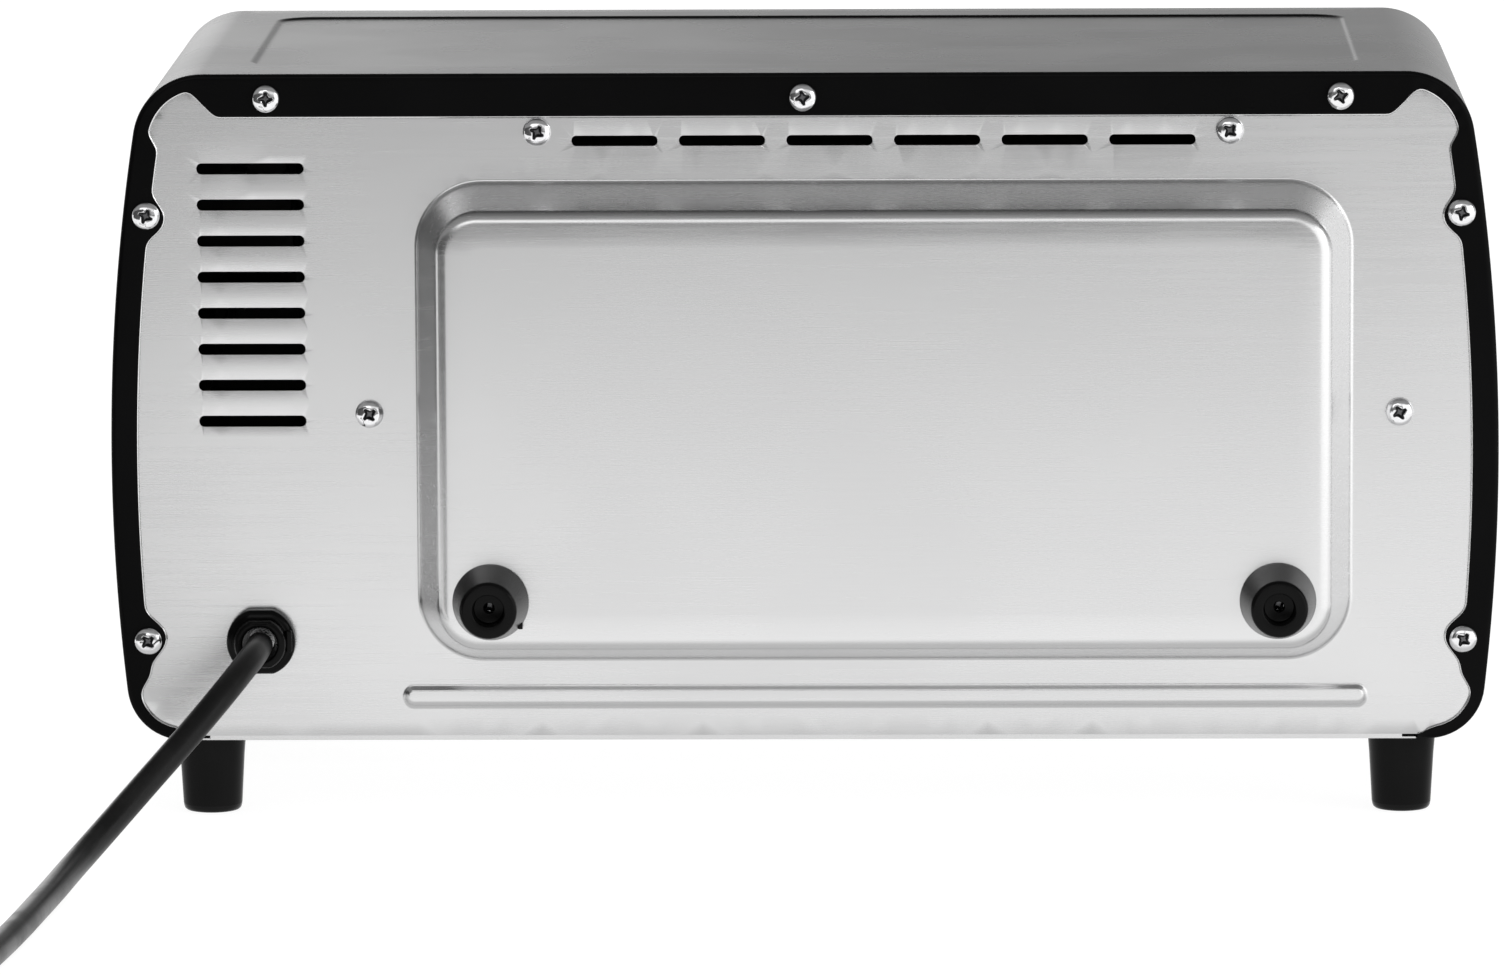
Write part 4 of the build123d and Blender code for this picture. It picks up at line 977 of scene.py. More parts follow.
@dataclass
class Studio:
    """Camera, lights, floor and surroundings."""

    place: Point = (-0.04746, 3.04255, 0.52139)
    right: Point = (-0.99978, -0.02035, -0.00501)
    up: Point = (-0.00204, -0.14352, 0.98965)
    lens: float = 253.72
    floor_half: float = 200.0
    floor_tone: float = 0.14
    floor_glow: float = 0.92
    sun_power: float = 1.8
    sun_spread: float = 44.0
    sun_tilt: Flat = (24.0, -14.0)
    box_place: Point = (-1.5, 0.9, 0.5)
    box_aim: Point = (0.0, 0.1, 0.1)
    box_size: Flat = (0.9, 0.9)
    box_power: float = 9.0
    even_fill: float = 0.75
    box_glow: float = 1.5
    cards: tuple[Card, ...] = (
        lying_card("table_far", 30, (0.3, 60), (0.8, 1.2), (2.7, 0.15)),
        lying_card("table_near", 0.4, (0.0, 0.3), (0.13, 0.66), (0.2, 1.16)),
        standing_card("flag", 1, (0.3, 0.06), (0.7, 0.1)),
        standing_card("window", -1, (0.3, 1.45), (0.7, 1.35)))

    def camera(self) -> None:
        """Makes the camera."""
        data = bpy.data.cameras.new("camera")
        data.lens = self.lens
        data.sensor_width = 36.0
        data.clip_start, data.clip_end = 0.1, 500.0
        holder = bpy.data.objects.new("camera", data)
        right, up = Vector(self.right).normalized(), Vector(self.up)
        back = right.cross(up).normalized()
        up = back.cross(right)
        turn = Matrix((right, up, back)).transposed().to_4x4()
        holder.matrix_world = Matrix.Translation(self.place) @ turn
        bpy.context.scene.collection.objects.link(holder)
        bpy.context.scene.camera = holder

    def lights(self) -> None:
        """Adds a broad soft light from above and a softbox at the side."""
        data = bpy.data.lights.new("overhead", "SUN")
        data.energy = self.sun_power
        data.angle = math.radians(self.sun_spread)
        sun = bpy.data.objects.new("overhead", data)
        sun.rotation_euler = (math.radians(self.sun_tilt[0]), math.radians(self.sun_tilt[1]), 0)
        sun.visible_glossy = False
        bpy.context.scene.collection.objects.link(sun)
        data = bpy.data.lights.new("side_box", "AREA")
        data.shape = "RECTANGLE"
        data.size, data.size_y = self.box_size
        data.energy = self.box_power
        lamp = bpy.data.objects.new("side_box", data)
        lamp.location = self.box_place
        aim = Vector(self.box_aim) - Vector(self.box_place)
        lamp.rotation_euler = aim.to_track_quat("-Z", "Y").to_euler()
        bpy.context.scene.collection.objects.link(lamp)

    def surroundings(self) -> None:
        """Wires the world: pale where it is seen, an even fill, and a shaded room in reflections."""
        world = bpy.data.worlds.new("surroundings")
        bpy.context.scene.world = world
        world.use_nodes = True
        world.node_tree.nodes.clear()
        g = Graph(world.node_tree)
        way = g.add("ShaderNodeSeparateXYZ", {0: g.add("ShaderNodeTexCoord").outputs["Generated"]}).outputs

        def level(ramp: Ramp) -> object:
            """Adds a ramp and returns its output."""
            return g.spread(way[ramp.axis], ramp.start, ramp.end, ramp.first, ramp.last)

        def times(first: object, second: object) -> object:
            """Multiplies two levels."""
            return g.math("MULTIPLY", first, second)

        low = level(LOW_BAND)
        front = times(times(level(FRONT_SIDE), low), level(FRONT_LEAN))
        walls = times(level(WALL_REAR), times(level(WALL_FOOT), level(WALL_HEAD)))
        shade = g.math("ADD", g.math("ADD", front, times(level(SIDE_PART), low)), walls)
        box = times(times(level(BOX_FOOT), level(BOX_HEAD)), level(BOX_START))
        box = times(box, times(level(BOX_END), level(BOX_REAR)))
        shade = g.math("ADD", shade, times(box, self.box_glow))
        room = g.add("ShaderNodeCombineColor", {0: shade, 1: shade, 2: shade}).outputs[0]
        rays = g.add("ShaderNodeLightPath").outputs
        colour = g.blend(rays["Is Diffuse Ray"], room, grey(self.even_fill))
        colour = g.blend(rays["Is Camera Ray"], colour, grey(1.0))
        back = g.add("ShaderNodeBackground", {"Color": colour, "Strength": 1.0})
        g.add("ShaderNodeOutputWorld", {"Surface": back.outputs[0]})

    def floor(self) -> None:
        """Lays the plain pale floor."""
        draft = Draft()
        reach = self.floor_half / MM
        corners = [(-reach, -reach, 0), (reach, -reach, 0), (reach, reach, 0), (-reach, reach, 0)]
        draft.face(draft.ring(corners))
        mesh = draft.mesh("floor")
        paper = bpy.data.materials.new("floor_paper")
        paper.use_nodes = True
        shader = paper.node_tree.nodes["Principled BSDF"]
        shader.inputs["Base Color"].default_value = grey(self.floor_tone)
        shader.inputs["Roughness"].default_value = 0.9
        shader.inputs["Specular IOR Level"].default_value = 0.1
        shader.inputs["Emission Color"].default_value = grey(1.0)
        shader.inputs["Emission Strength"].default_value = self.floor_glow
        mesh.materials.append(paper)
        sheet = bpy.data.objects.new("floor", mesh)
        bpy.context.scene.collection.objects.link(sheet)

    def build(self) -> None:
        """Sets the whole studio up."""
        self.camera()
        self.lights()
        self.surroundings()
        self.floor()
        for card in self.cards:
            card.build()
        bpy.context.scene.view_settings.view_transform = "Standard"


# ================================================================ power lead
ROUTE: tuple[Point, ...] = (
    (153.2, 102.75, 50.7), (153.2, 111.8, 50.7), (154.5, 120.6, 49.6), (157.0, 129.3, 47.0),
    (160.7, 137.5, 43.0), (166.4, 146.0, 36.8), (173.2, 156.0, 29.8), (180.4, 167.0, 22.6),
    (187.4, 179.0, 15.6), (193.6, 193.0, 9.7), (198.2, 209.0, 5.9), (201.1, 229.0, 4.1),
    (203.5, 254.0, 3.7), (205.9, 284.0, 3.7), (208.8, 313.0, 3.7), (211.6, 337.0, 3.7))


@dataclass
class PowerLead:
    """Lead, the bushing it comes out of, its tied coil and its plug."""

    width: float = 7.4
    length: float = 0.90
    coil_x: float = 256.0
    coil_y: float = 345.0
    coil_radius: float = 40.7
    coil_gain: float = 1.009   # a smooth curve runs this much inside its control points
    low_z: float = 3.7
    high_z: float = 11.1
    per_turn: int = 18
    tie_angle: float = 60.0
    gland_x: float = 153.2
    gland_z: float = 50.7
    plug_z: float = 11.4

    def coil_points(self) -> list[Point]:
        """Control points of two and a half turns that cross over once and end beside the plug.

        Returns:
            The points, after the one that ends the route.
        """
        lane = self.width / 2
        points = []
        for i in range(int(2.5 * self.per_turn) + 1):
            turned = 360.0 * i / self.per_turn
            inward = smooth_share(turned, 275, 345)
            rising = smooth_share(turned, 560, 640)
            outward = smooth_share(turned, 790, 890)
            radius = self.coil_radius + lane - self.width * inward + lane * rising + lane * outward
            height = self.low_z + (self.high_z - self.low_z) * rising
            angle = math.radians(180 - turned)
            reach = radius * self.coil_gain
            along, across = reach * math.cos(angle), reach * math.sin(angle)
            points.append((self.coil_x + along, self.coil_y + across, height))
        last = points[-1]
        return points[1:] + [(last[0], last[1] - 9, self.plug_z), (last[0], last[1] - 16, self.plug_z)]

    def cord(self) -> bpy.types.Object:
        """Makes the lead as one curve from the bushing to the plug.

        Returns:
            The lead.
        """
        route = list(ROUTE) + self.coil_points()
        data = bpy.data.curves.new("power_lead", "CURVE")
        data.dimensions = "3D"
        data.resolution_u = 8
        data.bevel_depth = self.width / 2 * MM
        data.bevel_resolution = 7
        data.use_fill_caps = True
        spline = data.splines.new("NURBS")
        spline.points.add(len(route) - 1)
        for spot, place in zip(spline.points, route):
            spot.co = (*(c * MM for c in place), 1.0)
        spline.order_u = 3
        spline.use_endpoint_u = True
        spline.use_smooth = True
        data.materials.append(CORD_RUBBER.material())
        lead = bpy.data.objects.new("power_lead", data)
        bpy.context.scene.collection.objects.link(lead)
        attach(lead, "housing")
        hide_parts("power_cord", "cord_coil")
        return lead

    def bushing(self) -> bpy.types.Object:
        """Makes the clamping bushing: a flange with two flats, a stepped face and a deep mouth.

        Returns:
            The bushing.
        """
        low, high = span("cord_gland")
        wall = span("wrap_cover")[1].y - SHEET
        flat = 9.1

        def cut(radius: float, limit: float) -> list[Flat]:
            """A circle with an upper and a lower flat, round the bushing's axis."""
            return [(self.gland_x + x, self.gland_z + max(-limit, min(limit, z)))
                    for x, z in circle((0, 0), radius, 96)]

        draft = Draft()
        flange = [(0.6, 0.0), (0.0, 0.5), (0.0, 3.4), (0.25, 4.1), (0.9, 4.6), (1.5, 4.75)]
        rows = [(9.7 - inset, flat - inset, wall + out) for inset, out in flange]
        mouth = [(7.9, 7.1, 4.8), (7.6, 6.9, 5.0), (7.3, 6.7, 8.2), (6.9, 6.3, 8.8), (6.2, 5.8, 9.0),
                 (5.3, 5.3, 8.9), (4.9, 4.9, 8.3), (4.7, 4.7, 6.0), (4.1, 4.1, 3.0), (3.72, 3.72, 2.0)]
        rows += [(radius, limit, wall + out) for radius, limit, out in mouth]
        draft.skin([[(x, y, z) for x, z in cut(radius, limit)] for radius, limit, y in rows])
        neck = [(7.4, -0.2), (7.4, -5.0), (6.8, -9.0), (3.72, -9.0)]
        draft.skin([[(x, wall + out, z) for x, z in circle((self.gland_x, self.gland_z), radius, 96)]
                    for radius, out in neck])
        for sign in (-1, 1):
            z = self.gland_z + sign * 6.0
            draft.block((self.gland_x - 2.4, wall + 7.4, z - 0.35),
                        (self.gland_x + 2.4, min(wall + 9.2, high.y), z + 0.35), 0.25)
        draft.block((low.x + 0.6, wall + 4.2, self.gland_z - 2.6),
                    (low.x + 2.4, wall + 6.4, self.gland_z + 3.6), 0.5)
        return place_piece("lead_bushing", draft.mesh("lead_bushing"), [BUMPER_PLASTIC], "housing",
                           ["cord_gland"])

    def tie(self) -> bpy.types.Object:
        """Makes the strap round the coil, with its ratchet head and tail.

        Returns:
            The strap.
        """
        spin = Matrix.Rotation(math.radians(self.tie_angle), 4, "Z")
        turn = Matrix.Translation((self.coil_x, self.coil_y, 0)) @ spin
        middle, half = (self.coil_radius, 8.0), (8.2, 7.3)
        draft = Draft()

        def band(inset: float, along: float) -> list[Vector]:
            """The strap's outline moved inwards, at a place along the lead."""
            size = (2 * (half[0] + 0.7 - inset), 2 * (half[1] + 0.55 - inset))
            return [turn @ Vector((r, along, z)) for r, z in rounded_loop(middle, size, 4.2 - inset, 6)]

        edges = [(1.3, -4.6), (0.35, -4.6), (0.0, -4.2), (0.0, 4.2), (0.35, 4.6), (1.3, 4.6), (1.3, -4.6)]
        draft.skin([band(inset, along) for inset, along in edges])
        for step in range(9):
            spot = turn @ Vector((self.coil_radius - 6 + 1.4 * step, 0, 15.95))
            ridge = [(spot.x + dx, spot.y + dy, spot.z + dz) for dx, dy, dz in
                     ((-0.35, -2.6, -0.2), (0.35, -2.6, -0.2), (0.1, -2.4, 0.2), (-0.1, -2.4, 0.2))]
            other = [(x, y + 2 * (spot.y - y), z) for x, y, z in ridge]
            made = draft.skin([ridge, other])
            draft.face(made[0])
            draft.face(made[1])
        return place_piece("coil_tie", draft.mesh("coil_tie"), [TIE_PLASTIC], "housing", ["cord_tie"],
                           edge=0.2)

    def plug(self) -> list[bpy.types.Object]:
        """Makes the moulded plug with its ribbed tail, and its pins.

        Returns:
            The plug and the pins.
        """
        face_y = span("plug_body")[0].y
        x, z = self.coil_x + self.coil_radius + self.width / 2, self.plug_z
        draft = Draft()
        rows = [(0.0, 12.0, 10.0, 4.6), (0.5, 12.7, 10.7, 5.4), (1.4, 13.0, 11.0, 6.0),
                (9.0, 13.0, 11.0, 6.0), (14.0, 12.2, 10.4, 5.8), (20.0, 11.0, 9.8, 5.6),
                (27.0, 10.6, 9.4, 5.8), (31.0, 10.0, 8.8, 6.4), (34.5, 8.8, 7.6, 6.4), (36.0, 7.2, 6.6, 6.2)]
        tail = []
        for ring in range(6):
            at = 37.2 + 3.5 * ring
            reach = 6.5 - 0.33 * ring
            tail += [(at, reach), (at + 1.6, reach - 0.1), (at + 1.9, reach - 1.1), (at + 2.9, reach - 1.15)]
        tail += [(59.0, 4.6), (59.8, 4.2), (60.0, 3.7)]
        rows += [(at, reach, reach, reach - 0.001) for at, reach in tail]
        loops = []
        for at, wide, tall, corner in rows:
            flats = rounded_loop((x, z), (2 * wide, 2 * tall), corner, 7)
            loops.append([(px, face_y + at, pz) for px, pz in flats])
        made = draft.skin(loops)
        draft.face(made[0])
        for side in (-1, 1):
            for step in range(5):
                y = face_y + 15 + 3.0 * step
                low, high = sorted((x + side * 10.3, x + side * 12.4))
                draft.block((low, y, z - 5.5), (high, y + 1.2, z + 5.5), 0.5)
        plug = place_piece("plug_moulding", draft.mesh("plug_moulding"), [CORD_RUBBER], "housing",
                           ["plug_body"])
        pins = Draft()
        for side in (-1, 1):
            centre = x + side * 6.35
            pins.block((centre - 0.75, face_y - 16, z + 0.4), (centre + 0.75, face_y + 0.6, z + 6.7), 0.35)
        pins.lathe([(0, 18.5), (1.2, 18.2), (2.0, 17.3), (2.4, 16.0), (2.4, -0.6), (0, -0.6)],
                   axis_y(x, z - 6.0, face_y, -1), 32)
        return [plug, place_piece("plug_blades", pins.mesh("plug_blades"), [PIN_BRASS], "housing",
                                  ["plug_pins"])]

    def build(self) -> None:
        lead, bushing, tie, plug = self.cord(), self.bushing(), self.tie(), self.plug()
        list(plug)


def smooth_share(value: float, low: float, high: float) -> float:
    """Rises smoothly from 0 at low to 1 at high."""
    t = max(0.0, min(1.0, (value - low) / (high - low)))
    return t * t * (3 - 2 * t)


# ================================================================ body outline
class Zone(Enum):
    """Parts of the body's outline, from the low curl up to the top."""

    LOW = "low"
    LOW_CORNER = "low corner"
    SIDE = "side"
    TOP_CORNER = "top corner"
    TOP = "top"


@dataclass(frozen=True)
class Station:
    """A place on the outline: its zone, an X or an angle there, and the side."""

    zone: Zone
    value: float
    side: int = 1


@dataclass(frozen=True)
class BodyOutline:
    """Cross-section of the body in X and Z, in millimetres."""

    half: float = 195.0
    side_radius: float = 590.0
    widest_z: float = 102.0
    top_corner: float = 19.5
    low_corner: float = 16.0
    base_z: float = 22.0
    top_z: float = 211.0
    end_x: float = 172.5
    low_steps: int = 14
    side_steps: int = 150
    top_steps: int = 26
    base_steps: int = 60

    @property
    def centre_x(self) -> float:
        """X of the right side's arc centre."""
        return self.half - self.side_radius

    def corner(self, top: bool) -> Flat:
        """Centre of the top or the low corner on the right.

        Args:
            top: Whether the top corner is wanted.

        Returns:
            X and Z of the centre.
        """
        radius = self.top_corner if top else self.low_corner
        z = self.top_z - radius if top else self.base_z + radius
        reach = math.sqrt((self.side_radius - radius) ** 2 - (z - self.widest_z) ** 2)
        return self.centre_x + reach, z

    def tangent(self, top: bool) -> float:
        """Angle at which the side meets that corner."""
        x, z = self.corner(top)
        return math.atan2(z - self.widest_z, x - self.centre_x)

    def spot(self, station: Station, inset: float) -> Flat:
        """Point of the outline moved inwards by inset.

        Args:
            station: Place on the outline.
            inset: Distance inwards.

        Returns:
            X and Z of the point.
        """
        zone, value = station.zone, station.value
        if zone is Zone.LOW:
            x, z = value, self.base_z + inset
        elif zone is Zone.TOP:
            x, z = value, self.top_z - inset
        else:
            centre = (self.centre_x, self.widest_z)
            radius = self.side_radius
            if zone is not Zone.SIDE:
                centre = self.corner(zone is Zone.TOP_CORNER)
                radius = self.top_corner if zone is Zone.TOP_CORNER else self.low_corner
            x = centre[0] + (radius - inset) * math.cos(value)
            z = centre[1] + (radius - inset) * math.sin(value)
        return station.side * x, z

    def right_stations(self) -> list[Station]:
        """Stations of the right half, from the cover's low end to the middle of the top.

        Returns:
            The stations in order.
        """
        low, high = self.tangent(False), self.tangent(True)
        low_x, top_x = self.corner(False)[0], self.corner(True)[0]
        found = [Station(Zone.LOW, self.end_x), Station(Zone.LOW, (self.end_x + low_x) / 2)]
        steps = self.low_steps
        found += [Station(Zone.LOW_CORNER, -QUARTER + (low + QUARTER) * i / steps) for i in range(steps + 1)]
        steps = self.side_steps
        found += [Station(Zone.SIDE, low + (high - low) * i / steps) for i in range(1, steps)]
        steps = self.top_steps
        found += [Station(Zone.TOP_CORNER, high + (QUARTER - high) * i / steps) for i in range(steps + 1)]
        near = [top_x - 0.8 * i for i in range(1, 9)]
        count = int(near[-1] / 4.0)
        found += [Station(Zone.TOP, x) for x in near]
        return found + [Station(Zone.TOP, near[-1] * (1 - i / count)) for i in range(1, count + 1)]

    def stations(self) -> list[Station]:
        """All stations, from the right low end over the top to the left low end."""
        right = self.right_stations()
        return right + [Station(s.zone, s.value, -1) for s in reversed(right[:-1])]

    def loop(self, inset: float) -> list[Flat]:
        """Closed outline moved inwards.

        Args:
            inset: Distance inwards.

        Returns:
            The points of the outline.
        """
        points = [self.spot(s, inset) for s in self.stations()]
        steps = self.base_steps
        base = self.base_z + inset
        return points + [(-self.end_x + 2 * self.end_x * i / steps, base) for i in range(1, steps)]


OUTLINE = BodyOutline()


# ================================================================ cover
@dataclass
class CoverShell:
    """Painted sheet over the top and both sides, with its rear flange and top recess."""

    bend: float = 1.2
    flange_top: float = 12.0
    flange_side: float = 7.4
    flange_lobe: float = 4.2
    flange_low: float = 3.5
    lobe_x: float = 164.6
    low_lobe_z: float = 40.5
    ear_radius: float = 5.2
    ears: tuple[Flat, ...] = ((184.3, 171.3), (185.2, 50.6))
    recess_half: float = 156.5
    recess_front: float = 19.0
    recess_rear: float = 24.0
    recess_corner: float = 11.0
    recess_depth: float = 0.6
    raw_width: float = 0.45
    raw_drop: float = 0.2
    top_grid: float = 7.0

    def flange_width(self, station: Station) -> float:
        """Width of the rear flange at a station.

        Args:
            station: Place on the outline.

        Returns:
            The width in millimetres.
        """
        x, z = OUTLINE.spot(Station(station.zone, station.value), 0.0)
        middle_x = OUTLINE.corner(True)[0]
        rise = OUTLINE.top_corner - self.flange_top + middle_x - self.lobe_x
        if station.zone is Zone.TOP:
            return max(self.flange_lobe, self.flange_top - max(0.0, x - self.lobe_x))
        if station.zone is Zone.TOP_CORNER:
            lean = math.sin(station.value) - math.cos(station.value)
            reach = rise / lean if lean > 0.1 else OUTLINE.top_corner
            return max(self.flange_lobe, OUTLINE.top_corner - reach)
        if station.zone is Zone.LOW:
            return self.bend + 0.05
        top_edge = OUTLINE.spot(Station(Zone.SIDE, OUTLINE.tangent(True)), 0.0)[1]
        width = min(self.flange_side, self.flange_lobe + max(0.0, top_edge - z))
        width = min(width, max(self.flange_low, self.flange_side - (self.low_lobe_z - z) * 0.76))
        for ear_x, ear_z in self.ears:
            away = abs(z - ear_z)
            reach = math.hypot(ear_x - OUTLINE.centre_x, ear_z - OUTLINE.widest_z)
            inset = OUTLINE.side_radius - reach
            turn = self.ear_radius * math.sqrt(0.5)
            bulge = math.sqrt(self.ear_radius ** 2 - away ** 2) if away < turn else 2 * turn - away
            width = max(width, inset + bulge)
        return width

    def widths(self, stations: Sequence[Station]) -> list[float]:
        """Flange widths, with the sharp turns between lobes and ears rounded off.

        Args:
            stations: Places on the outline.

        Returns:
            The width at each.
        """
        found = [self.flange_width(s) for s in stations]
        padded = found[:1] * 2 + found + found[-1:] * 2
        weights = (1, 2, 3, 2, 1)
        return [sum(w * padded[i + k] for k, w in enumerate(weights)) / sum(weights)
                for i in range(len(found))]

    def pucker(self, station: Station, share: float) -> float:
        """Small waves that the corner of the flange keeps from forming.

        Args:
            station: Place on the outline.
            share: How far in from the bend, from 0 to 1.

        Returns:
            Depth of the wave in millimetres.
        """
        if station.zone is not Zone.TOP_CORNER:
            return 0.0
        mid = math.sin(math.pi * (station.value - OUTLINE.tangent(True)) / (QUARTER - OUTLINE.tangent(True)))
        depth = 0.16 if station.side < 0 else 0.05
        return depth * mid * share * (math.sin(station.value * 38) + 0.6 * math.sin(station.value * 61 + 1))

    def build(self) -> None:
        """Makes the cover."""
        low, high = span("wrap_cover")
        front, rear = low.y, high.y
        stations = OUTLINE.stations()
        draft = Draft()
        straight = [front, front + 1.0] + [front + (rear - self.bend - front) * i / 14 for i in range(1, 15)]
        top = [i for i, s in enumerate(stations) if s.zone is Zone.TOP]
        first, last = top[0] - 1, top[-1] + 1
        for part in (stations[:first + 1], stations[last:]):
            flats = [OUTLINE.spot(s, 0.0) for s in part]
            draft.skin([[(x, y, z) for x, z in flats] for y in straight], closed=False)
        self.top_sheet(draft, stations[first:last + 1], straight)
        rows, widths = [], self.widths(stations)
        for i in range(6):
            t = QUARTER * i / 5
            inset, y = self.bend * (1 - math.cos(t)), rear - self.bend + self.bend * math.sin(t)
            rows.append([(x, y, z) for x, z in (OUTLINE.spot(s, inset) for s in stations)])
        for share in (0.08, 0.2, 0.4, 0.6, 0.8, 0.95, 1.0):
            row = []
            for s, width in zip(stations, widths):
                x, z = OUTLINE.spot(s, self.bend + (width - self.bend) * share)
                row.append((x, rear - abs(self.pucker(s, min(1.0, share * 1.6))), z))
            rows.append(row)
        made = draft.skin(rows, closed=False)
        draft.slot = 1
        reaches = [w + (0.0 if s.zone is Zone.LOW else self.raw_width) for s, w in zip(stations, widths)]
        flats = [OUTLINE.spot(s, reach) for s, reach in zip(stations, reaches)]
        edge = draft.ring((x, rear - self.raw_drop, z) for x, z in flats)
        draft.bridge(made[-1], edge, closed=False)
        mesh = draft.mesh("cover_shell", inside=Vector((0, 0, 110)), sharp=50)
        place_piece("cover_shell", mesh, [COVER_PAINT, RAW_EDGE], "housing", ["wrap_cover"],
                    sheet=SHEET)

    def top_sheet(self, draft: Draft, stations: Sequence[Station], straight: Sequence[float]) -> None:
        """Fills the flat top round the recess, and dishes the recess.

        Args:
            draft: The cover's drawing.
            stations: The stations of the flat top and its two ends.
            straight: Rows of the cover along Y.
        """
        edge_x = OUTLINE.corner(True)[0]
        xs = [OUTLINE.spot(s, 0.0)[0] for s in stations]
        outer = [(edge_x, y) for y in straight] + [(x, straight[-1]) for x in xs[1:-1]]
        outer += [(-edge_x, y) for y in reversed(straight)] + [(x, straight[0]) for x in reversed(xs[1:-1])]
        start, end = straight[0] + self.recess_front, straight[-1] + self.bend - SHEET - self.recess_rear
        middle, size = (0.0, (start + end) / 2), (2 * self.recess_half, end - start)

        def seat(inset: float) -> list[Flat]:
            """The recess's edge moved inwards."""
            inner = (size[0] - 2 * inset, size[1] - 2 * inset)
            return rounded_loop(middle, inner, self.recess_corner - inset, 12, (60, 24))

        top = OUTLINE.top_z
        draft.fill([outer, seat(-0.7)], level(top), self.top_grid)
        shares = ((-0.7, 0.0), (-0.3, 0.03), (0.1, 0.13), (0.5, 0.35), (0.8, 0.6), (1.1, 0.8), (1.5, 0.94),
                  (2.0, 0.99), (2.6, 1.0))
        rows = [(inset, self.recess_depth * share) for inset, share in shares]
        draft.skin([[(x, y, top - drop) for x, y in seat(inset)] for inset, drop in rows])
        draft.fill([seat(rows[-1][0])], level(top - self.recess_depth), self.top_grid)


# ================================================================ back panel
@dataclass
class BackPanel:
    """Bare steel back: plate, raised field, bead, vent slots."""

    cavity_x: float = -22.5
    inset: float = 1.4
    field_size: Flat = (261.6, 135.0)
    field_z: float = 112.8
    field_corner: float = 18.0
    field_lean: float = 16.0
    base_bend: float = 1.2
    crown_bend: float = 4.0
    crown_sink: float = 0.24
    sink_reach: float = 7.0
    bead_z: float = 34.4
    bead_size: Flat = (271.0, 5.8)
    bead_height: float = 1.45
    column: tuple[float, float, float, int] = (155.0, 184.4, 10.2, 8)
    row: tuple[float, float, int] = (192.0, 30.1, 6)
    grid: float = 5.0

    def slots(self) -> list[tuple[Flat, Flat]]:
        """Centre and size of each vent slot.

        Returns:
            A pair for each slot.
        """
        x, top, pitch, count = self.column
        found = [((x, top - i * pitch), (30.0, 3.0)) for i in range(count)]
        z, pitch, count = self.row
        first = self.cavity_x - pitch * (count - 1) / 2
        return found + [((first + i * pitch, z), (24.0, 2.8)) for i in range(count)]

    def sway(self, x: float, z: float) -> float:
        """Slight unevenness of the rolled sheet, in millimetres.

        Args:
            x: Place across the panel.
            z: Height on the panel.

        Returns:
            How far the sheet stands proud.
        """
        broad = noise.noise(Vector((x / 75, z / 60, 0.3)))
        fine = noise.noise(Vector((x / 26, z / 22, 4.7)))
        return 0.05 * broad + 0.012 * fine

    def field_loop(self, inset: float) -> list[Flat]:
        """Edge of the raised field moved inwards.

        Args:
            inset: Distance inwards.

        Returns:
            The points of the edge.
        """
        size = (self.field_size[0] - 2 * inset, self.field_size[1] - 2 * inset)
        corner = max(self.field_corner - inset, 2.0)
        return rounded_loop((self.cavity_x, self.field_z), size, corner, 18, (56, 28))

    def bead_loop(self, inset: float) -> list[Flat]:
        """Edge of the bead moved inwards.

        Args:
            inset: Distance inwards.

        Returns:
            The points of the edge.
        """
        size = (self.bead_size[0] - 2 * inset, self.bead_size[1] - 2 * inset)
        centre = (self.cavity_x, self.bead_z + 0.3 * max(0.0, inset))
        return rounded_loop(centre, size, size[1] / 2 - 0.2, 10, (70, 2))

    def field_rows(self, height: float) -> list[Flat]:
        """Inset and height along the raised field's wall, from the plate up to the crown.

        Args:
            height: How far the crown stands from the plate.

        Returns:
            Pairs of inset and height.
        """
        upright = math.radians(90 - self.field_lean)
        slope = math.tan(math.radians(self.field_lean))
        rows = []
        base, crown = self.base_bend, self.crown_bend
        start = -base * math.tan(upright / 2)
        for i in range(7):
            t = upright * i / 6
            rows.append((start + base * math.sin(t), base * (1 - math.cos(t))))
        middle = height * slope + crown * math.tan(upright / 2)
        top = height - self.crown_sink
        wall_end = (middle - crown * math.sin(upright), top - crown * (1 - math.cos(upright)))
        inset, at = rows[-1]
        rows += [(inset + (wall_end[0] - inset) * t, at + (wall_end[1] - at) * t) for t in (0.25, 0.5, 0.75)]
        for i in range(8):
            t = upright * (1 - i / 7.4)
            rows.append((middle - crown * math.sin(t), top - crown * (1 - math.cos(t))))
        inset, at = rows[-1]
        shares = (0.1, 0.22, 0.36, 0.52, 0.7, 0.88, 1.0)
        rows += [(inset + self.sink_reach * t, at + (height - at) * (1 - (1 - t) ** 2)) for t in shares]
        return rows

    def build(self) -> None:
        """Makes the panel."""
        panel_y = span("wrap_cover")[1].y - SHEET
        plate_y = span("wall_bumper_left")[0].y
        draft = Draft()
        rows = self.field_rows(plate_y - panel_y)
        shares = ((-0.7, 0.0), (-0.35, 0.03), (0.0, 0.14), (0.35, 0.4), (0.7, 0.72), (1.0, 0.9), (1.3, 0.98),
                  (1.65, 1.0))
        bead = [(inset, self.bead_height * share) for inset, share in shares]
        edges = []
        for centre, size in self.slots():
            lip = rounded_loop(centre, (size[0] + 0.3, size[1] + 0.3), size[1] / 2 + 0.05, 7, (6, 1))
            hole = rounded_loop(centre, size, size[1] / 2 - 0.1, 7, (6, 1))
            edges.append(lip)
            draft.skin([[(x, panel_y + self.sway(x, z), z) for x, z in lip],
                        [(x, panel_y - 0.14 + self.sway(x, z), z) for x, z in hole]])

        def lift(height: float) -> Placer:
            """Placer at a height over the plate, with the sheet's unevenness."""
            return lambda x, z: (x, panel_y + height + self.sway(x, z), z)

        def crown(x: float, z: float) -> Point:
            """Places a point on the crown."""
            return x, plate_y + self.sway(x, z), z

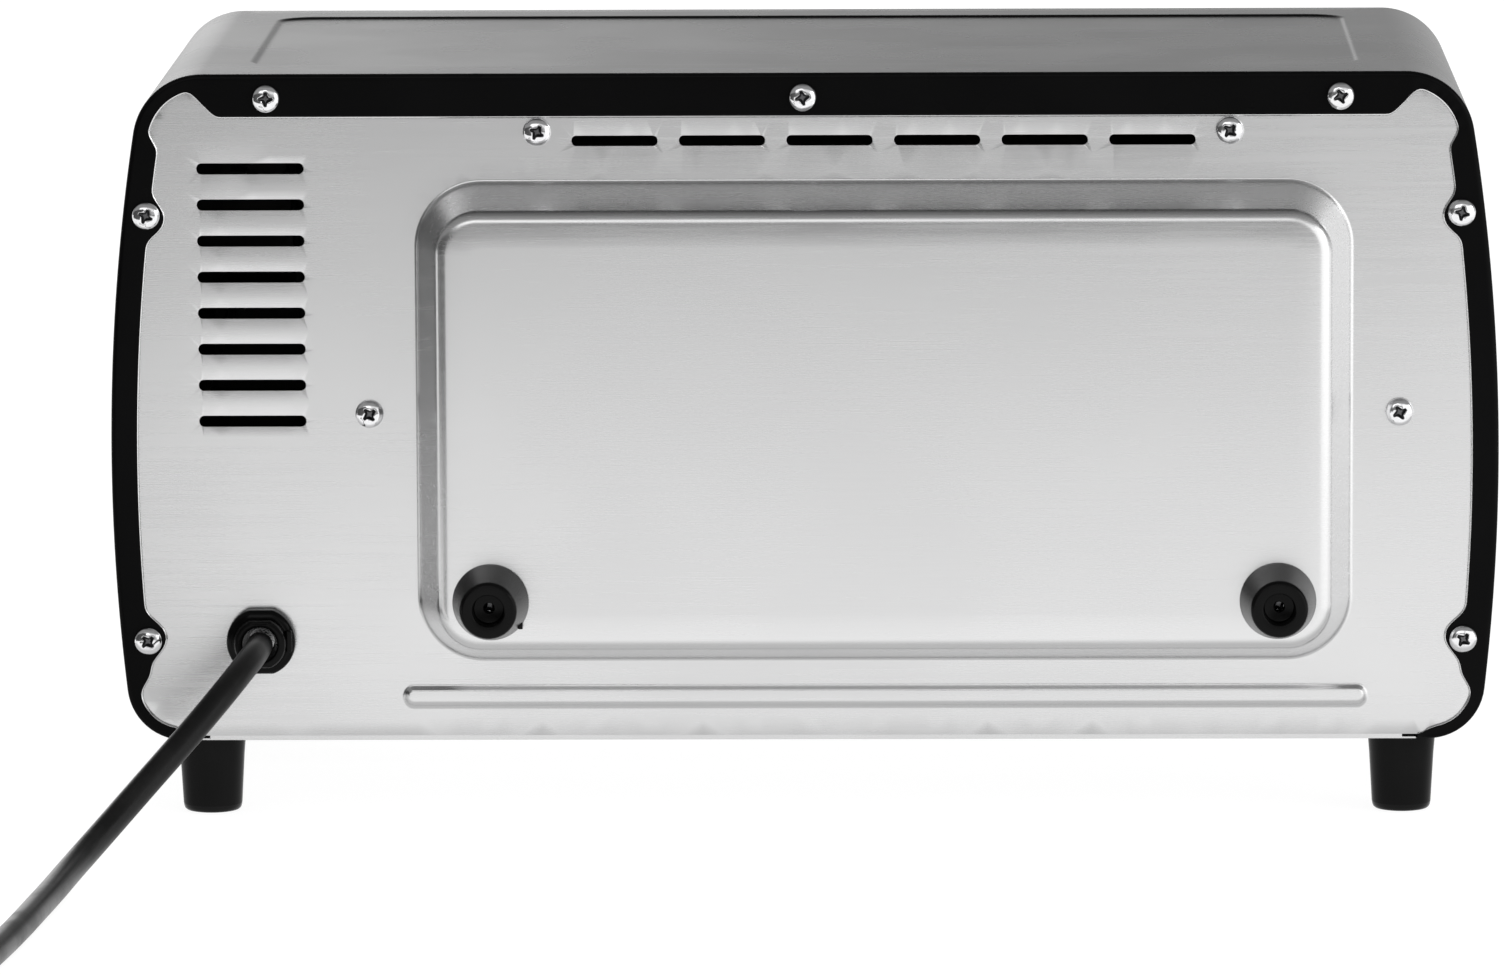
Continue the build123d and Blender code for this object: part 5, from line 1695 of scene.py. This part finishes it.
        field_edge, bead_edge = self.field_loop(rows[0][0]), self.bead_loop(bead[0][0])
        draft.fill([OUTLINE.loop(self.inset), field_edge, bead_edge, *edges], lift(0.0), self.grid)
        draft.skin([[lift(height)(x, z) for x, z in self.field_loop(inset)] for inset, height in rows])
        draft.fill([self.field_loop(rows[-1][0])], crown, self.grid)
        draft.skin([[lift(height)(x, z) for x, z in self.bead_loop(inset)] for inset, height in bead])
        draft.fill([self.bead_loop(bead[-1][0])], lift(bead[-1][1]))
        mesh = draft.mesh("rear_plate", inside=Vector((0, -2000, 100)), sharp=60)
        place_piece("rear_plate", mesh, [PANEL_STEEL, RAW_EDGE], "housing", ["back_panel"],
                    sheet=SHEET)


# ================================================================ screws, bumpers, feet
@dataclass
class PanScrews:
    """One group of cross-recessed pan-head screws that share a piece."""

    body: str
    node: str
    places: Sequence[Matrix]
    head: float = 4.0
    tall: float = 2.4
    shank: float = 1.9
    length: float = 7.0
    turn: float = 0.4

    def dome(self, reach: float) -> float:
        """Height of the head at a distance from its middle."""
        share = min(1.0, reach / self.head)
        return 0.35 + (self.tall - 0.35) * (1 - share ** 2.7) ** (1 / 2.2)

    def cross(self, scale: float, turn: float) -> list[Flat]:
        """Outline of the driver recess.

        Args:
            scale: Size against the real recess.
            turn: Angle of the cross in radians.

        Returns:
            The points of the outline.
        """
        arm, half = 2.05 * scale, 0.52 * scale
        heart = 0.92 * scale
        quarter = [(arm, -half * 0.75), (arm + 0.12, 0), (arm, half * 0.75), (heart + 0.25, half),
                   (heart, heart)]
        points = []
        for k in range(4):
            angle = turn + k * QUARTER
            cos, sin = math.cos(angle), math.sin(angle)
            points += [(x * cos - y * sin, x * sin + y * cos) for x, y in quarter]
        return points

    def one(self, draft: Draft, place: Matrix, turn: float) -> None:
        """Draws one screw, its axis along the frame's Z and its seat at 0.

        Args:
            draft: Drawing of the group.
            place: Frame of the screw.
            turn: Angle of its recess in radians.
        """

        def put(x: float, y: float, z: float) -> Point:
            """Places a point of the screw."""
            return tuple(place @ Vector((x, y, z)))

        def under(x: float, y: float, drop: float = 0.0) -> Point:
            """Places a point on the head's surface, or a little under it."""
            return put(x, y, self.dome(math.hypot(x, y)) - drop)

        shares = (0.997, 0.985, 0.96, 0.92, 0.87, 0.81, 0.74, 0.68)
        rim = [(self.head - 0.15, 0.0), (self.head, 0.12)]
        rim += [(self.head * r, self.dome(self.head * r)) for r in shares]
        turns = [FULL_TURN * i / 40 for i in range(40)]
        draft.skin([[put(r * math.cos(a), r * math.sin(a), z) for a in turns] for r, z in rim])
        inner = circle((0, 0), rim[-1][0], 40)
        lip, wall, deep = self.cross(1.06, turn), self.cross(0.98, turn), self.cross(0.4, turn)
        draft.fill([inner, lip], under, 0.45)
        draft.skin([[under(x, y) for x, y in lip], [under(x, y, 0.07) for x, y in wall]])
        # The recess walls and floor take slot 1, the dark steel that paints shade into the recess.
        draft.slot = 1
        draft.skin([[under(x, y, 0.07) for x, y in wall],
                    [put(x, y, self.tall - 0.95) for x, y in self.cross(0.74, turn)],
                    [put(x, y, self.tall - 1.5) for x, y in deep]])
        draft.fill([deep], lambda x, y: put(x, y, self.tall - 1.5))
        draft.slot = 0
        thread = [(self.head - 0.15, 0.0), (self.shank, 0.0), (self.shank, -1.0)]
        steps = int((self.length - 1.5) / 0.5)
        thread += [(self.shank - (0.28 if i % 2 else 0.0), -1.0 - 0.5 * i) for i in range(steps)]
        thread += [(self.shank - 0.3, -self.length + 0.4), (0, -self.length)]
        draft.lathe(thread, place, 20)

    def build(self) -> None:
        """Makes the group, each recess turned its own way."""
        draft = Draft()
        for i, place in enumerate(self.places):
            self.one(draft, place, self.turn + 1.37 * i)
        name = f"{self.node}_set"
        mesh = draft.mesh(name, sharp=38)
        place_piece(name, mesh, [CHROME, RECESS_PAINTED_SHADE], self.body, [self.node])


def rear_screws() -> list[PanScrews]:
    """The screw groups that show at the back and under the body.

    Returns:
        One group for each node of screws.
    """
    flange_y = span("wrap_cover")[1].y
    panel_y = flange_y - SHEET
    plate_y = span("wall_bumper_left")[0].y
    cavity_x = BackPanel.cavity_x
    flange = [(-150.3, 204.2), (0.0, 204.2), (150.3, 204.2), (-184.3, 171.3), (184.3, 171.3), (-185.2, 50.6),
              (185.2, 50.6)]
    panel = [(cavity_x + 96.9, 194.6), (cavity_x - 96.9, 194.6), (cavity_x + 144.6, 115.0),
             (cavity_x - 144.6, 115.0)]
    bumper = [(cavity_x + 110.0, 64.8), (cavity_x - 110.0, 64.8)]
    groups = [PanScrews("housing", "rear_flange_screws", [axis_y(x, z, flange_y) for x, z in flange]),
              PanScrews("housing", "back_panel_screws", [axis_y(x, z, panel_y) for x, z in panel], turn=1.1),
              PanScrews("housing", "bumper_screws", [axis_y(x, z, plate_y + 4.0) for x, z in bumper],
                        length=9.0, turn=0.7)]
    under = []
    for node in Feet.nodes:
        x, y, _ = centre(node)
        at = Matrix.Translation((x - math.copysign(Feet.offset, x), y, Feet.seat))
        under.append(at @ Matrix.Rotation(math.pi, 4, "X"))
    return groups + [PanScrews("housing", "foot_screws", under, length=13.0)]


@dataclass
class WallBumpers:
    """Two hollow cones that keep the hot back off the wall."""

    count: int = 72
    skirt: float = 10.25
    gate_angle: float = -35.0

    def build(self) -> None:
        """Makes both cones, one with a moulding gate mark on its skirt."""
        for side in ("left", "right"):
            node = f"wall_bumper_{side}"
            low, high = span(node)
            x, _, z = centre(node)
            deep = high.y - low.y
            profile = [(2.1, 0.0), (10.2, 0.0), (10.65, 0.25), (10.7, 0.7), (10.55, 1.3), (8.05, deep - 1.2),
                       (7.75, deep - 0.45), (7.25, deep - 0.05), (6.9, deep), (4.9, deep), (4.5, deep - 0.2),
                       (4.35, deep - 0.7), (4.25, 11.5), (3.95, 11.2), (1.7, 11.1), (1.45, 10.8), (1.4, 9.4),
                       (4.1, 9.2), (4.15, 4.0), (2.1, 4.0)]
            draft = Draft()
            draft.lathe(profile, axis_y(x, z, low.y), self.count)
            if x > 0:
                angle = math.radians(self.gate_angle)
                spot = Vector((x - self.skirt * math.cos(angle), 0, z + self.skirt * math.sin(angle)))
                draft.block((spot.x - 0.6, low.y + 0.2, spot.z - 1.5),
                            (spot.x + 0.7, low.y + 2.2, spot.z + 0.9), 0.25)
            mesh = draft.mesh(f"{node}_cone", sharp=50)
            place_piece(f"{node}_cone", mesh, [BUMPER_PLASTIC], "housing", [node])


@dataclass
class Feet:
    """Four tapered feet with a soft edge and a recess for the screw."""

    nodes: tuple[str, ...] = ("foot_front_left", "foot_front_right", "foot_rear_left", "foot_rear_right")
    seat: float = 14.0
    offset: float = 1.5

    def build(self) -> None:
        """Makes the feet."""
        for node in self.nodes:
            x, y, _ = centre(node)
            tall = span(node)[1].z

            def facet(angle: float, height: float) -> float:
                """Factor that gives the foot six soft flats."""
                return 1.0 - 0.012 * (0.5 + 0.5 * math.cos(6 * angle)) ** 3 * min(1.0, height / 3)

            outer = [(4.6, 0.0), (6.7, 0.0), (7.4, 0.15), (7.95, 0.6), (8.25, 1.3), (8.4, 2.2),
                     (9.2, tall - 6), (9.6, tall - 1.6), (9.75, tall - 1.2), (9.75, tall - 0.3), (9.5, tall),
                     (2.0, tall)]
            inner = [(4.25, 0.35), (4.15, self.seat), (2.0, self.seat)]
            draft = Draft()
            draft.lathe(outer, Matrix.Translation((x, y, 0)), 72, facet)
            draft.lathe(inner, Matrix.Translation((x - math.copysign(self.offset, x), y, 0)), 48)
            mesh = draft.mesh(f"{node}_stub", sharp=50)
            place_piece(f"{node}_stub", mesh, [FOOT_PLASTIC], "housing", [node])


# ================================================================ front
@dataclass
class Fascia:
    """Control panel with printed dials, trim rings and the lamp lens."""

    left: float = 134.5
    inset: float = 1.4
    knob_x: float = 161.0
    lamp_z: float = 194.0
    ticks: int = 11
    hole: float = 18.3

    def loop(self, inset: float) -> list[Flat]:
        """Edge of the panel moved inwards, straight beside the door.

        Args:
            inset: Distance inwards.

        Returns:
            The points of the edge.
        """
        edge = self.left + inset
        points = [OUTLINE.spot(s, self.inset + inset) for s in OUTLINE.right_stations()]
        kept = [p for p in points if p[0] > edge + 0.5]
        base = OUTLINE.base_z + self.inset + inset
        top = OUTLINE.top_z - self.inset - inset
        lower = [(edge + 1.2, base), (edge + 0.35, base + 0.35), (edge, base + 1.2)]
        upper = [(edge, top - 1.2), (edge + 0.35, top - 0.35), (edge + 1.2, top)]
        return kept + list(reversed(upper)) + line(upper[0], lower[-1], 40) + list(reversed(lower))

    def build(self) -> None:
        """Makes the panel, its rings, its lens and its printed marks."""
        low, high = span("control_panel")
        face_y = low.y
        draft = Draft()
        rows = [(2.4, 1.1), (1.7, 1.05), (1.4, 0.8), (1.25, 0.35), (1.1, 0.12), (0.9, 0.08), (0.55, 0.12),
                (0.25, 0.32), (0.06, 0.7), (0.0, 1.2), (0.0, high.y - face_y)]
        plate_y = face_y + rows[0][1]
        heights = [centre(f"{knob}_knob")[2] for knob in KNOBS]
        holes = [circle((self.knob_x, z), self.hole, 64) for z in heights]
        draft.skin([[(x, face_y + out, z) for x, z in self.loop(inset)] for inset, out in rows])
        draft.fill([self.loop(rows[0][0]), *holes], facing(plate_y), 6.0)
        for height in heights:
            wells = [(1.0, 0.0), (0.97, 0.5), (0.3, 0.5)]
            rims = [(circle((self.knob_x, height), self.hole * share, 64), deep) for share, deep in wells]
            draft.skin([[(x, plate_y + deep, z) for x, z in rim] for rim, deep in rims])
        mesh = draft.mesh("fascia", inside=Vector((161, 2000, 110)), sharp=45)
        place_piece("fascia", mesh, [FASCIA_PLASTIC], "housing", ["control_panel"])
        self.rings(face_y)
        self.marks(plate_y)
        lens = Draft()
        glass = [(3.0, 3.4), (3.0, -0.1), (4.2, -0.15), (4.2, -0.55), (3.9, -0.85), (3.0, -1.1), (1.5, -1.2),
                 (0, -1.2)]
        lens.lathe(glass, axis_y(self.knob_x, self.lamp_z, face_y), 48)
        place_piece("lamp_window", lens.mesh("lamp_window"), [LENS_RED], "housing", ["indicator_lens"])

    def rings(self, face_y: float) -> None:
        """Makes the three bright dial rings.

        Args:
            face_y: Y of the panel's face.
        """
        draft = Draft()
        bead = [(22.0, 1.1), (22.0, 0.15), (21.8, -0.3), (21.3, -0.6), (20.6, -0.72), (19.9, -0.6),
                (19.4, -0.3), (19.2, 0.15), (19.2, 1.1)]
        for knob in KNOBS:
            draft.lathe(bead, axis_y(self.knob_x, centre(f"{knob}_knob")[2], face_y), 96)
        place_piece("dial_rings", draft.mesh("dial_rings", sharp=60), [BRIGHT_CHROME], "housing",
                    ["knob_trim_rings"])

    def marks(self, plate_y: float) -> None:
        """Prints plain graduation marks round each knob, as thin raised ink.

        Args:
            plate_y: Y of the plate that carries them.
        """
        draft = Draft()
        for knob in KNOBS:
            z = centre(f"{knob}_knob")[2]
            for i in range(self.ticks):
                angle = math.radians(225 - 270 * i / (self.ticks - 1))
                along = Vector((math.cos(angle), math.sin(angle)))
                across = Vector((-along.y, along.x))
                wide, reach = (0.45, 1.9) if i % 5 == 0 else (0.28, 1.2)
                start = Vector((self.knob_x, z)) + along * 22.6
                corners = [start - across * wide, start + across * wide,
                           start + across * wide + along * reach, start - across * wide + along * reach]
                base = draft.ring((c.x, plate_y + 0.02, c.y) for c in corners)
                top = draft.ring((c.x, plate_y - 0.05, c.y) for c in corners)
                draft.bridge(base, top)
                draft.face(top)
        place_piece("dial_marks", draft.mesh("dial_marks"), [PRINT_WHITE], "housing", [])


KNOBS = ("temperature", "function", "timer")


@dataclass
class Knobs:
    """Three turning knobs with a fluted skirt, a grip bar and a pointer line."""

    flutes: int = 30

    def build(self) -> None:
        """Makes each knob on its own body."""
        for knob in KNOBS:
            node = f"{knob}_knob"
            low, high = span(node)
            x, _, z = centre(node)
            back, deep = high.y, high.y - low.y
            draft = Draft()

            def flute(angle: float, height: float) -> float:
                """Factor that flutes the skirt."""
                return 1.0 - 0.012 * (0.5 + 0.5 * math.cos(self.flutes * angle)) * (0.4 < height < 4.9)

            skirt = [(3.0, 0.0), (16.9, 0.0), (17.3, 0.15), (17.5, 0.6), (17.4, 3.0), (17.2, 4.6),
                     (16.8, 5.4), (16.1, 5.85), (15.2, 6.0), (13.9, 6.0), (13.4, 5.75), (12.5, 5.7), (0, 5.9)]
            draft.lathe(skirt, axis_y(x, z, back, -1), 240, flute)

            def bar(inset: float) -> list[Flat]:
                """Edge of the grip bar moved inwards."""
                size = (8.0 - 2 * inset, 30.2 - 2 * inset)
                return rounded_loop((x, z), size, max(0.5, 3.4 - inset), 8, (1, 12))

            rows = [(-1.3, 5.7), (-0.6, 6.0), (-0.15, 6.8), (0.0, 8.0), (0.35, deep - 2.4), (0.6, deep - 1.2),
                    (1.05, deep - 0.4), (1.7, deep)]
            draft.skin([[(px, back - out, pz) for px, pz in bar(inset)] for inset, out in rows])
            draft.fill([bar(1.7)], facing(back - deep))
            mesh = draft.mesh(f"{knob}_grip", sharp=45)
            place_piece(f"{knob}_grip", mesh, [KNOB_PLASTIC], node, [node], edge=0.15)
            pointer = Draft()
            tip = back - deep
            pointer.block((x - 0.45, tip - 0.06, z + 5.0), (x + 0.45, tip + 0.3, z + 12.6), 0.05)
            mesh = pointer.mesh(f"{knob}_pointer")
            place_piece(f"{knob}_pointer", mesh, [PRINT_WHITE], node, [])


@dataclass
class Door:
    """Drop-down door: enamelled frame, window trim, glass, and handle."""

    cavity_x: float = -22.5
    half: float = 151.0
    top: float = 197.0
    hinge_z: float = 47.0
    window_half: float = 128.0
    window_z: Flat = (64.0, 178.0)
    post_offset: float = 92.0
    handle_half: float = 112.0

    def window(self, grow: float) -> list[Flat]:
        """Edge of the window opening, moved outwards by grow.

        Args:
            grow: Distance outwards.

        Returns:
            The points of the edge.
        """
        low, high = self.window_z
        size = (2 * (self.window_half + grow), high - low + 2 * grow)
        return rounded_loop((self.cavity_x, (low + high) / 2), size, 8 + grow, 8, (24, 12))

    def edge(self, inset: float, low: float) -> list[Flat]:
        """Outer edge of the door, moved inwards, with its lower side at low.

        Args:
            inset: Distance inwards.
            low: Height of the lower side.

        Returns:
            The points of the edge.
        """
        middle = (self.top - inset + low) / 2
        size = (2 * (self.half - inset), self.top - inset - low)
        return rounded_loop((self.cavity_x, middle), size, 3.0, 5, (40, 20))

    def build(self) -> None:
        """Makes the frame, the trim and the handle."""
        low, high = span("door_frame")
        front, back = low.y, high.y
        radius = (back - front) / 2
        base = self.hinge_z - radius
        draft = Draft()
        shape = [(1.4, 1.0, front), (0.7, 0.62, front + 0.12), (0.2, 0.3, front + 0.5),
                 (0.0, 0.12, front + 1.3), (0.0, 0.0, front + radius), (0.0, 0.12, back - 1.3),
                 (0.2, 0.3, back - 0.5), (0.7, 0.62, back - 0.12), (1.4, 1.0, back)]
        draft.skin([[(x, y, z) for x, z in self.edge(inset, base + radius * lift)]
                    for inset, lift, y in shape])
        press = [(5.6, 0.0), (5.2, 0.05), (4.7, 0.35), (4.4, 0.62), (4.0, 0.7), (0.8, 0.7), (0.3, 0.85),
                 (0.0, 1.3), (0.0, 3.4)]
        draft.fill([self.edge(1.4, base + radius), self.window(press[0][0])], facing(front), 8.0)
        draft.skin([[(x, front + deep, z) for x, z in self.window(grow)] for grow, deep in press])
        inner = [(0.0, 3.4), (6.3, 3.45), (6.3, back - front)]
        draft.skin([[(x, front + deep, z) for x, z in self.window(grow)] for grow, deep in inner])
        draft.fill([self.edge(1.4, base + radius), self.window(6.3)], facing(back), 8.0)
        place_piece("door_panel", draft.mesh("door_panel", sharp=45), [DOOR_ENAMEL], "door", ["door_frame"])
        trim = Draft()
        section = [(4.3, 0.7), (4.2, 0.25), (3.8, 0.02), (3.2, -0.05), (2.6, 0.02), (2.2, 0.25), (2.1, 0.7)]
        trim.skin([[(x, front + deep, z) for x, z in self.window(grow)] for grow, deep in section])
        place_piece("window_trim", trim.mesh("window_trim"), [BRIGHT_CHROME], "door", [])
        self.handle()

    def handle(self) -> None:
        """Makes the tubular bar with end caps, and its two posts."""
        low, high = span("handle_bar")
        y, z, radius = (low.y + high.y) / 2, (low.z + high.z) / 2, (high.y - low.y) / 2
        reach = self.handle_half
        bar = Draft()
        cap = [(0, -reach), (4.5, -reach), (6.2, -reach + 0.3), (7.1, -reach + 1.1), (radius, -reach + 2.4),
               (radius, -reach + 9.0), (radius - 0.3, -reach + 9.2), (radius - 0.3, -reach + 9.8),
               (radius, -reach + 10.0)]
        profile = cap + [(r, -h) for r, h in reversed(cap)]
        bar.lathe(profile, axis_x(self.cavity_x, y, z), 64)
        place_piece("handle_tube", bar.mesh("handle_tube"), [BRIGHT_CHROME], "door", ["handle_bar"])
        posts = Draft()
        face = span("door_frame")[0].y
        for side in (-1, 1):
            x = self.cavity_x + side * self.post_offset
            profile = [(1.95, 0.0), (9.6, 0.0), (9.95, 0.3), (9.9, 0.9), (9.2, 2.6), (8.4, 6.0), (7.9, 10.0),
                       (7.6, 14.0), (7.5, 17.5)]
            posts.lathe(profile, axis_y(x, z, face, -1), 56)
            saddle = [(8.9, -6.6), (9.1, -6.0), (9.1, 6.0), (8.9, 6.6), (7.6, 6.8), (7.52, 6.8)]
            turns = [math.radians(62 + 236 * i / 40) for i in range(41)]
            rows = [[(x + at, y - wide * math.cos(a), z + wide * math.sin(a)) for a in turns]
                    for wide, at in [(7.52, -6.8), (7.6, -6.8), *saddle]]
            posts.skin(rows, closed=False)
        place_piece("handle_supports", posts.mesh("handle_supports"), [FASCIA_PLASTIC], "door",
                    ["handle_posts"], edge=0.15)


# ================================================================ chamber and carried-over nodes
@dataclass
class WireRack:
    """Welded chrome rack that draws out with the door."""

    bars: int = 17
    wire: float = 1.9
    bar_wire: float = 1.3
    height: float = 98.0
    front_y: float = -76.25
    corner: float = 9.0

    def build(self) -> None:
        """Makes the frame wire, the bars and the two hooks."""
        low, high = span("wire_rack")
        x0, x1 = low.x + self.wire, high.x - self.wire
        centre_x = (x0 + x1) / 2
        y0, y1 = self.front_y, high.y - self.wire
        draft = Draft()
        frame_loop = rounded_loop((centre_x, (y0 + y1) / 2), (x1 - x0, y1 - y0), self.corner, 8)
        draft.tube([(x, y, self.height) for x, y in frame_loop], self.wire, 14, closed=True)
        for shift in (-58.0, 0.0, 58.0):
            y = (y0 + y1) / 2 + shift
            z = self.height - 0.6
            draft.tube([(x0 + 0.5, y, z), (x1 - 0.5, y, z)], self.wire - 0.4, 12)
        for i in range(self.bars):
            x = x0 + (x1 - x0) * (i + 1) / (self.bars + 1)
            low_z, top_z = self.height + 0.9, self.height + 1.4
            bar = [(x, y0 - 0.6, low_z), (x, y0 + 1.6, top_z), (x, y1 - 1.6, top_z), (x, y1 + 0.6, low_z)]
            draft.tube(bar, self.bar_wire, 10)
        for side in (-1, 1):
            x = centre_x + side * 70.0
            hook = [(x, y0, self.height), (x, y0 - 4.4, self.height), (x, y0 - 5.5, self.height - 0.5),
                    (x, y0 - 6.0, self.height - 1.6), (x, y0 - 6.0, self.height - 5.0)]
            draft.tube(hook, self.bar_wire, 12)
        place_piece("rack_wires", draft.mesh("rack_wires", sharp=60), [BRIGHT_CHROME], "wire_rack",
                    ["wire_rack"])


@dataclass
class CarriedOver:
    """CAD nodes that keep their shape and get a finish and soft edges."""

    edge: float = 0.22
    own: dict[str, Finish] = field(default_factory=lambda: {"base_panel": PANEL_STEEL})

    def build(self) -> None:
        """Dresses every node that still shows."""
        for name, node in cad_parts.items():
            if node.hide_render:
                continue
            slot = node.material_slots[0].name.split(".")[0]
            finish = self.own.get(name, SLOT_OF.get(slot, CHAMBER_STEEL))
            for holder in node.material_slots:
                holder.material = finish.material()
            weld = node.modifiers.new("join", "WELD")
            weld.merge_threshold = MERGE * MM
            soften_edges(node, self.edge if finish is not WINDOW_GLASS else 0.1)
            log.info("%s: kept from the CAD, finish %s", name, finish.name)


def main() -> None:
    """Builds the classes in order."""
    logging.basicConfig(level=logging.INFO, format="%(name)s | %(message)s")
    Studio().build()
    PowerLead().build()
    CoverShell().build()
    BackPanel().build()
    for screws in rear_screws():
        screws.build()
    WallBumpers().build()
    Feet().build()
    Fascia().build()
    Knobs().build()
    Door().build()
    WireRack().build()
    CarriedOver().build()


if __name__ == "__main__":
    main()
